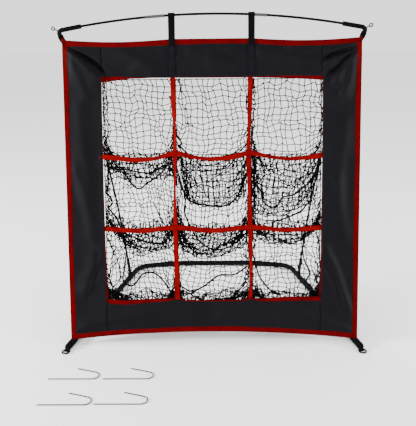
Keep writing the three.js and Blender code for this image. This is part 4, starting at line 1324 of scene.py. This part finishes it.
def webbing_foot(side, sign):
    """A tube of webbing pulled over the leg's end, flattened in front and sewn round the ring's bar."""
    points, maps = [], []
    for along, wide, high, middle in FOOT_STATIONS + FOOT_INSIDE:
        for k in range(FOOT_AROUND):
            angle = 2 * math.pi * k / FOOT_AROUND
            c, s = math.cos(angle), math.sin(angle)
            power = 0.62 if along < -57 else 0.92
            crease = 1 + 0.018 * math.sin(5 * angle + along / 5) + 0.014 * math.sin(along / 2.6 + 2 * angle)
            across = math.copysign(abs(c) ** power, c) * wide * crease
            up = max(middle + math.copysign(abs(s) ** power, s) * high * crease, 0.35)
            points.append((across, along, up))
            maps.append((0.5 + 0.34 * c, along * MM + 0.05 * k / FOOT_AROUND))
    faces = inside_out(ring_faces(len(FOOT_STATIONS) + len(FOOT_INSIDE), FOOT_AROUND))
    parts = Parts()
    parts.add(leg_place(sign, points), faces, maps)
    made = parts.make(f"webbing_foot_{side}", "black_webbing", "black_webbing")
    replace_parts(made, f"foot_sleeve_{side}")
    thread = Parts()
    for along in (-60.5, -58.8):
        leg_stitches(thread, sign, [(a, along, 9.2 + (along + 60.5) * 0.9) for a in (-9.5, 9.5)])
    for across in (-5.5, 5.5):
        top = 14.2 + 13.9 * math.sqrt(1 - (across / 14.3) ** 2)
        leg_stitches(thread, sign, [(across, -50, top), (across, 13, top + 0.3)])
    thread.make(f"foot_stitches_{side}", "thread_black", "black_webbing")


def leg_stitches(parts, sign, ends):
    """Thread stitches along a straight line on a foot."""
    a, b = (np.array(end, float) for end in ends)
    count = max(int(np.linalg.norm(b - a) / STITCH_PITCH), 1)
    for k in range(count):
        p = a + (b - a) * (k + 0.12) / count
        q = a + (b - a) * (k + 0.88) / count
        parts.add(*tube(leg_place(sign, [p, (p + q) / 2 + [0, 0, 0.3], q]), FOOT_THREAD, 5))


def wire_loop(path, radius, axis):
    """A closed loop of round wire. axis is square to the plane the loop lies in."""
    around = 12
    axis = np.array(axis, float)
    points = []
    for i, at in enumerate(path):
        ahead = path[(i + 1) % len(path)] - path[i - 1]
        out = np.cross(ahead / np.linalg.norm(ahead), axis)
        for k in range(around):
            angle = 2 * math.pi * k / around
            points.append(at + radius * (math.cos(angle) * out + math.sin(angle) * axis))
    return points, inside_out(ring_faces(len(path), around, closed=True))


def ring_of_wire(side, sign):
    """The D-shaped ring on the foot: a straight bar in the webbing's fold and a rounded bow in front."""
    shoulder = RING_BAR - RING_SIDE
    bow = [(-RING_REACH, RING_BAR), (-RING_REACH, shoulder)]
    for angle in np.linspace(math.pi, 2 * math.pi, 13)[1:-1]:
        bow.append((RING_REACH * math.cos(angle), shoulder + RING_BOW * math.sin(angle)))
    bow += [(RING_REACH, shoulder), (RING_REACH, RING_BAR)]
    rounded = spline([(a, b, RING_HEIGHT) for a, b in bow], 4)
    bar = [(a, RING_BAR, RING_HEIGHT) for a in np.linspace(RING_REACH, -RING_REACH, 8)[1:-1]]
    parts = Parts()
    parts.add(*wire_loop(leg_place(sign, np.concatenate([rounded, bar])), RING_WIRE, (0, 0, 1)))
    made = parts.make(f"wire_ring_{side}", "black_steel", "black_steel", body=f"foot_ring_{side}")
    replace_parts(made, f"foot_ring_{side}")


LOOP_DOWN_ARM = 40  # from the elbow's corner
LOOP_WIDTH = 24
LOOP_RADIUS = 10.8  # round the elbow's arm
LOOP_ENDS = 2.9  # its ends lie this far behind the sheet's plane


def corner_loop(side, sign):
    """Webbing that goes from the sheet's back round the elbow's arm and back to the sheet."""
    top = sheet_point([sign * ELBOW_CORNER_X, 0, bow_height(ELBOW_CORNER_X)])
    pull = np.array([sign * POLE_CONTROL[0], POLE_CONTROL[1] + SHIFT_Y, POLE_CONTROL[2]])
    down = (pull - top) / np.linalg.norm(pull - top)
    middle = top + down * LOOP_DOWN_ARM
    forward = np.array([0, -1.0, 0]) - down * -down[1]
    forward /= np.linalg.norm(forward)
    inward = np.cross(forward, down)
    inward *= -sign * math.copysign(1, inward[0])
    here = behind_sheet(middle)
    reach = (here - LOOP_ENDS) / (here - behind_sheet(middle + forward))
    r = LOOP_RADIUS
    path = [(r + 0.9, reach), (r + 0.9, reach * 0.5), (r, 4)]
    path += [(r * math.cos(a), -r * math.sin(a)) for a in np.linspace(0, math.pi, 9)]
    path += [(r * math.cos(a), r * math.sin(a)) for a in np.linspace(math.pi, math.pi * 0.45, 6)[1:]]
    path += [(r * 0.6, r * 1.15), (r - 0.8, reach * 0.5 + 7), (r - 0.8, reach)]
    path = np.array([middle + inward * a + forward * b for a, b in path])
    line = spline(path, 3)
    ahead = np.gradient(line, axis=0)
    face = np.cross(np.broadcast_to(down, ahead.shape), ahead)
    parts = Parts()
    ribbon(parts, line, LOOP_WIDTH, WEBBING, face=face, row=True)
    made = parts.make(f"loop_ribbon_{side}", "black_webbing", "black_webbing")
    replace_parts(made, f"corner_loop_{side}")


EYE_OUT = 21  # from the elbow's corner to the middle of the eye
EYE = 6.3  # radius of its ring, and then of the wire
EYE_WIRE = 2.3
EYE_STEM = (EYE, 14, 23)  # distances of its stem's three points from the middle of the eye


def wire_eye(side, sign):
    """The eye moulded into an elbow's outer corner: a wire ring that faces forwards, on a short stem."""
    corner = sheet_point([sign * ELBOW_CORNER_X, 0, bow_height(ELBOW_CORNER_X)])
    outward = np.array([sign * 2.0, 0, 1.0]) / math.sqrt(5)
    middle = corner + outward * EYE_OUT
    turns = np.linspace(0, 2 * math.pi, 28, endpoint=False)
    ring = [middle + EYE * np.array([math.cos(a), 0, math.sin(a)]) for a in turns]
    parts = Parts()
    parts.add(*wire_loop(ring, EYE_WIRE, (0, -1, 0)))
    parts.add(*tube([middle - outward * away for away in EYE_STEM], EYE_WIRE, 10))
    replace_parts(parts.make(f"wire_eye_{side}", "black_steel", "black_steel"), f"elbow_eye_{side}")


for side, sign in SIDES:
    wire_eye(side, sign)
    webbing_foot(side, sign)
    ring_of_wire(side, sign)
    corner_loop(side, sign)

# ---------------------------------------------------------------- CAD pieces that keep their shape

WELD_WITHIN = 1e-5
REAL_EDGE = math.radians(42)  # two faces that meet at less than this belong to one round surface


def dress_cad_nodes():
    slots = {entry["node"]: entry["material_slot"] for entry in frame["record"]["subparts"]}
    for name, node in nodes.items():
        node.data.materials.clear()
        node.data.materials.append(MATERIALS[slots[name]])
        shade_round(node)


def shade_round(node):
    """Round surfaces shade smoothly and real edges stay sharp, while the solid keeps its shape."""
    mesh = node.data
    if "custom_normal" in mesh.attributes:
        mesh.attributes.remove(mesh.attributes["custom_normal"])
    mesh.polygons.foreach_set("use_smooth", [True] * len(mesh.polygons))
    node.modifiers.new("weld", "WELD").merge_threshold = WELD_WITHIN
    node.modifiers.new("edges", "EDGE_SPLIT").split_angle = REAL_EDGE


dress_cad_nodes()

# ---------------------------------------------------------------- studio

FLOOR_REACH = 14.0  # metres from the middle to a side
FLOOR_DROP = 0.0005  # metres that the floor lies below the object's feet
WORLD_STRENGTH = 1.75
# Name, place, target, width in metres and power in watts.
LIGHTS = (
    ("key", (-4.4, -1.4, 1.5), (0, 0, 0.7), 0.8, 520),
    ("fill", (4.2, -1.5, 1.0), (0, 0, 0.6), 0.9, 300),
    ("top", (0, 0.6, 4.2), (0, 0, 0.5), 3.5, 80),
)


def make_floor():
    mesh = bpy.data.meshes.new("studio_floor")
    corners = [(x * FLOOR_REACH, y * FLOOR_REACH, 0) for x, y in ((-1, -1), (1, -1), (1, 1), (-1, 1))]
    mesh.from_pydata(corners, [], [(0, 1, 2, 3)])
    mesh.materials.append(floor_material())
    floor = bpy.data.objects.new("studio_floor", mesh)
    floor.location.z = -FLOOR_DROP
    bpy.context.scene.collection.objects.link(floor)


def add_light(name, place, target, size, power):
    data = bpy.data.lights.new(name, "AREA")
    data.shape = "DISK"
    data.size = size
    data.energy = power
    light = bpy.data.objects.new(name, data)
    light.location = place
    light.rotation_euler = (Vector(target) - Vector(place)).to_track_quat("-Z", "Y").to_euler()
    bpy.context.scene.collection.objects.link(light)


def make_studio():
    make_floor()
    world = bpy.data.worlds.new("studio")
    bpy.context.scene.world = world
    world.use_nodes = True
    background = world.node_tree.nodes["Background"]
    background.inputs["Color"].default_value = (1, 1, 1, 1)
    background.inputs["Strength"].default_value = WORLD_STRENGTH
    for light in LIGHTS:
        add_light(*light)


make_studio()
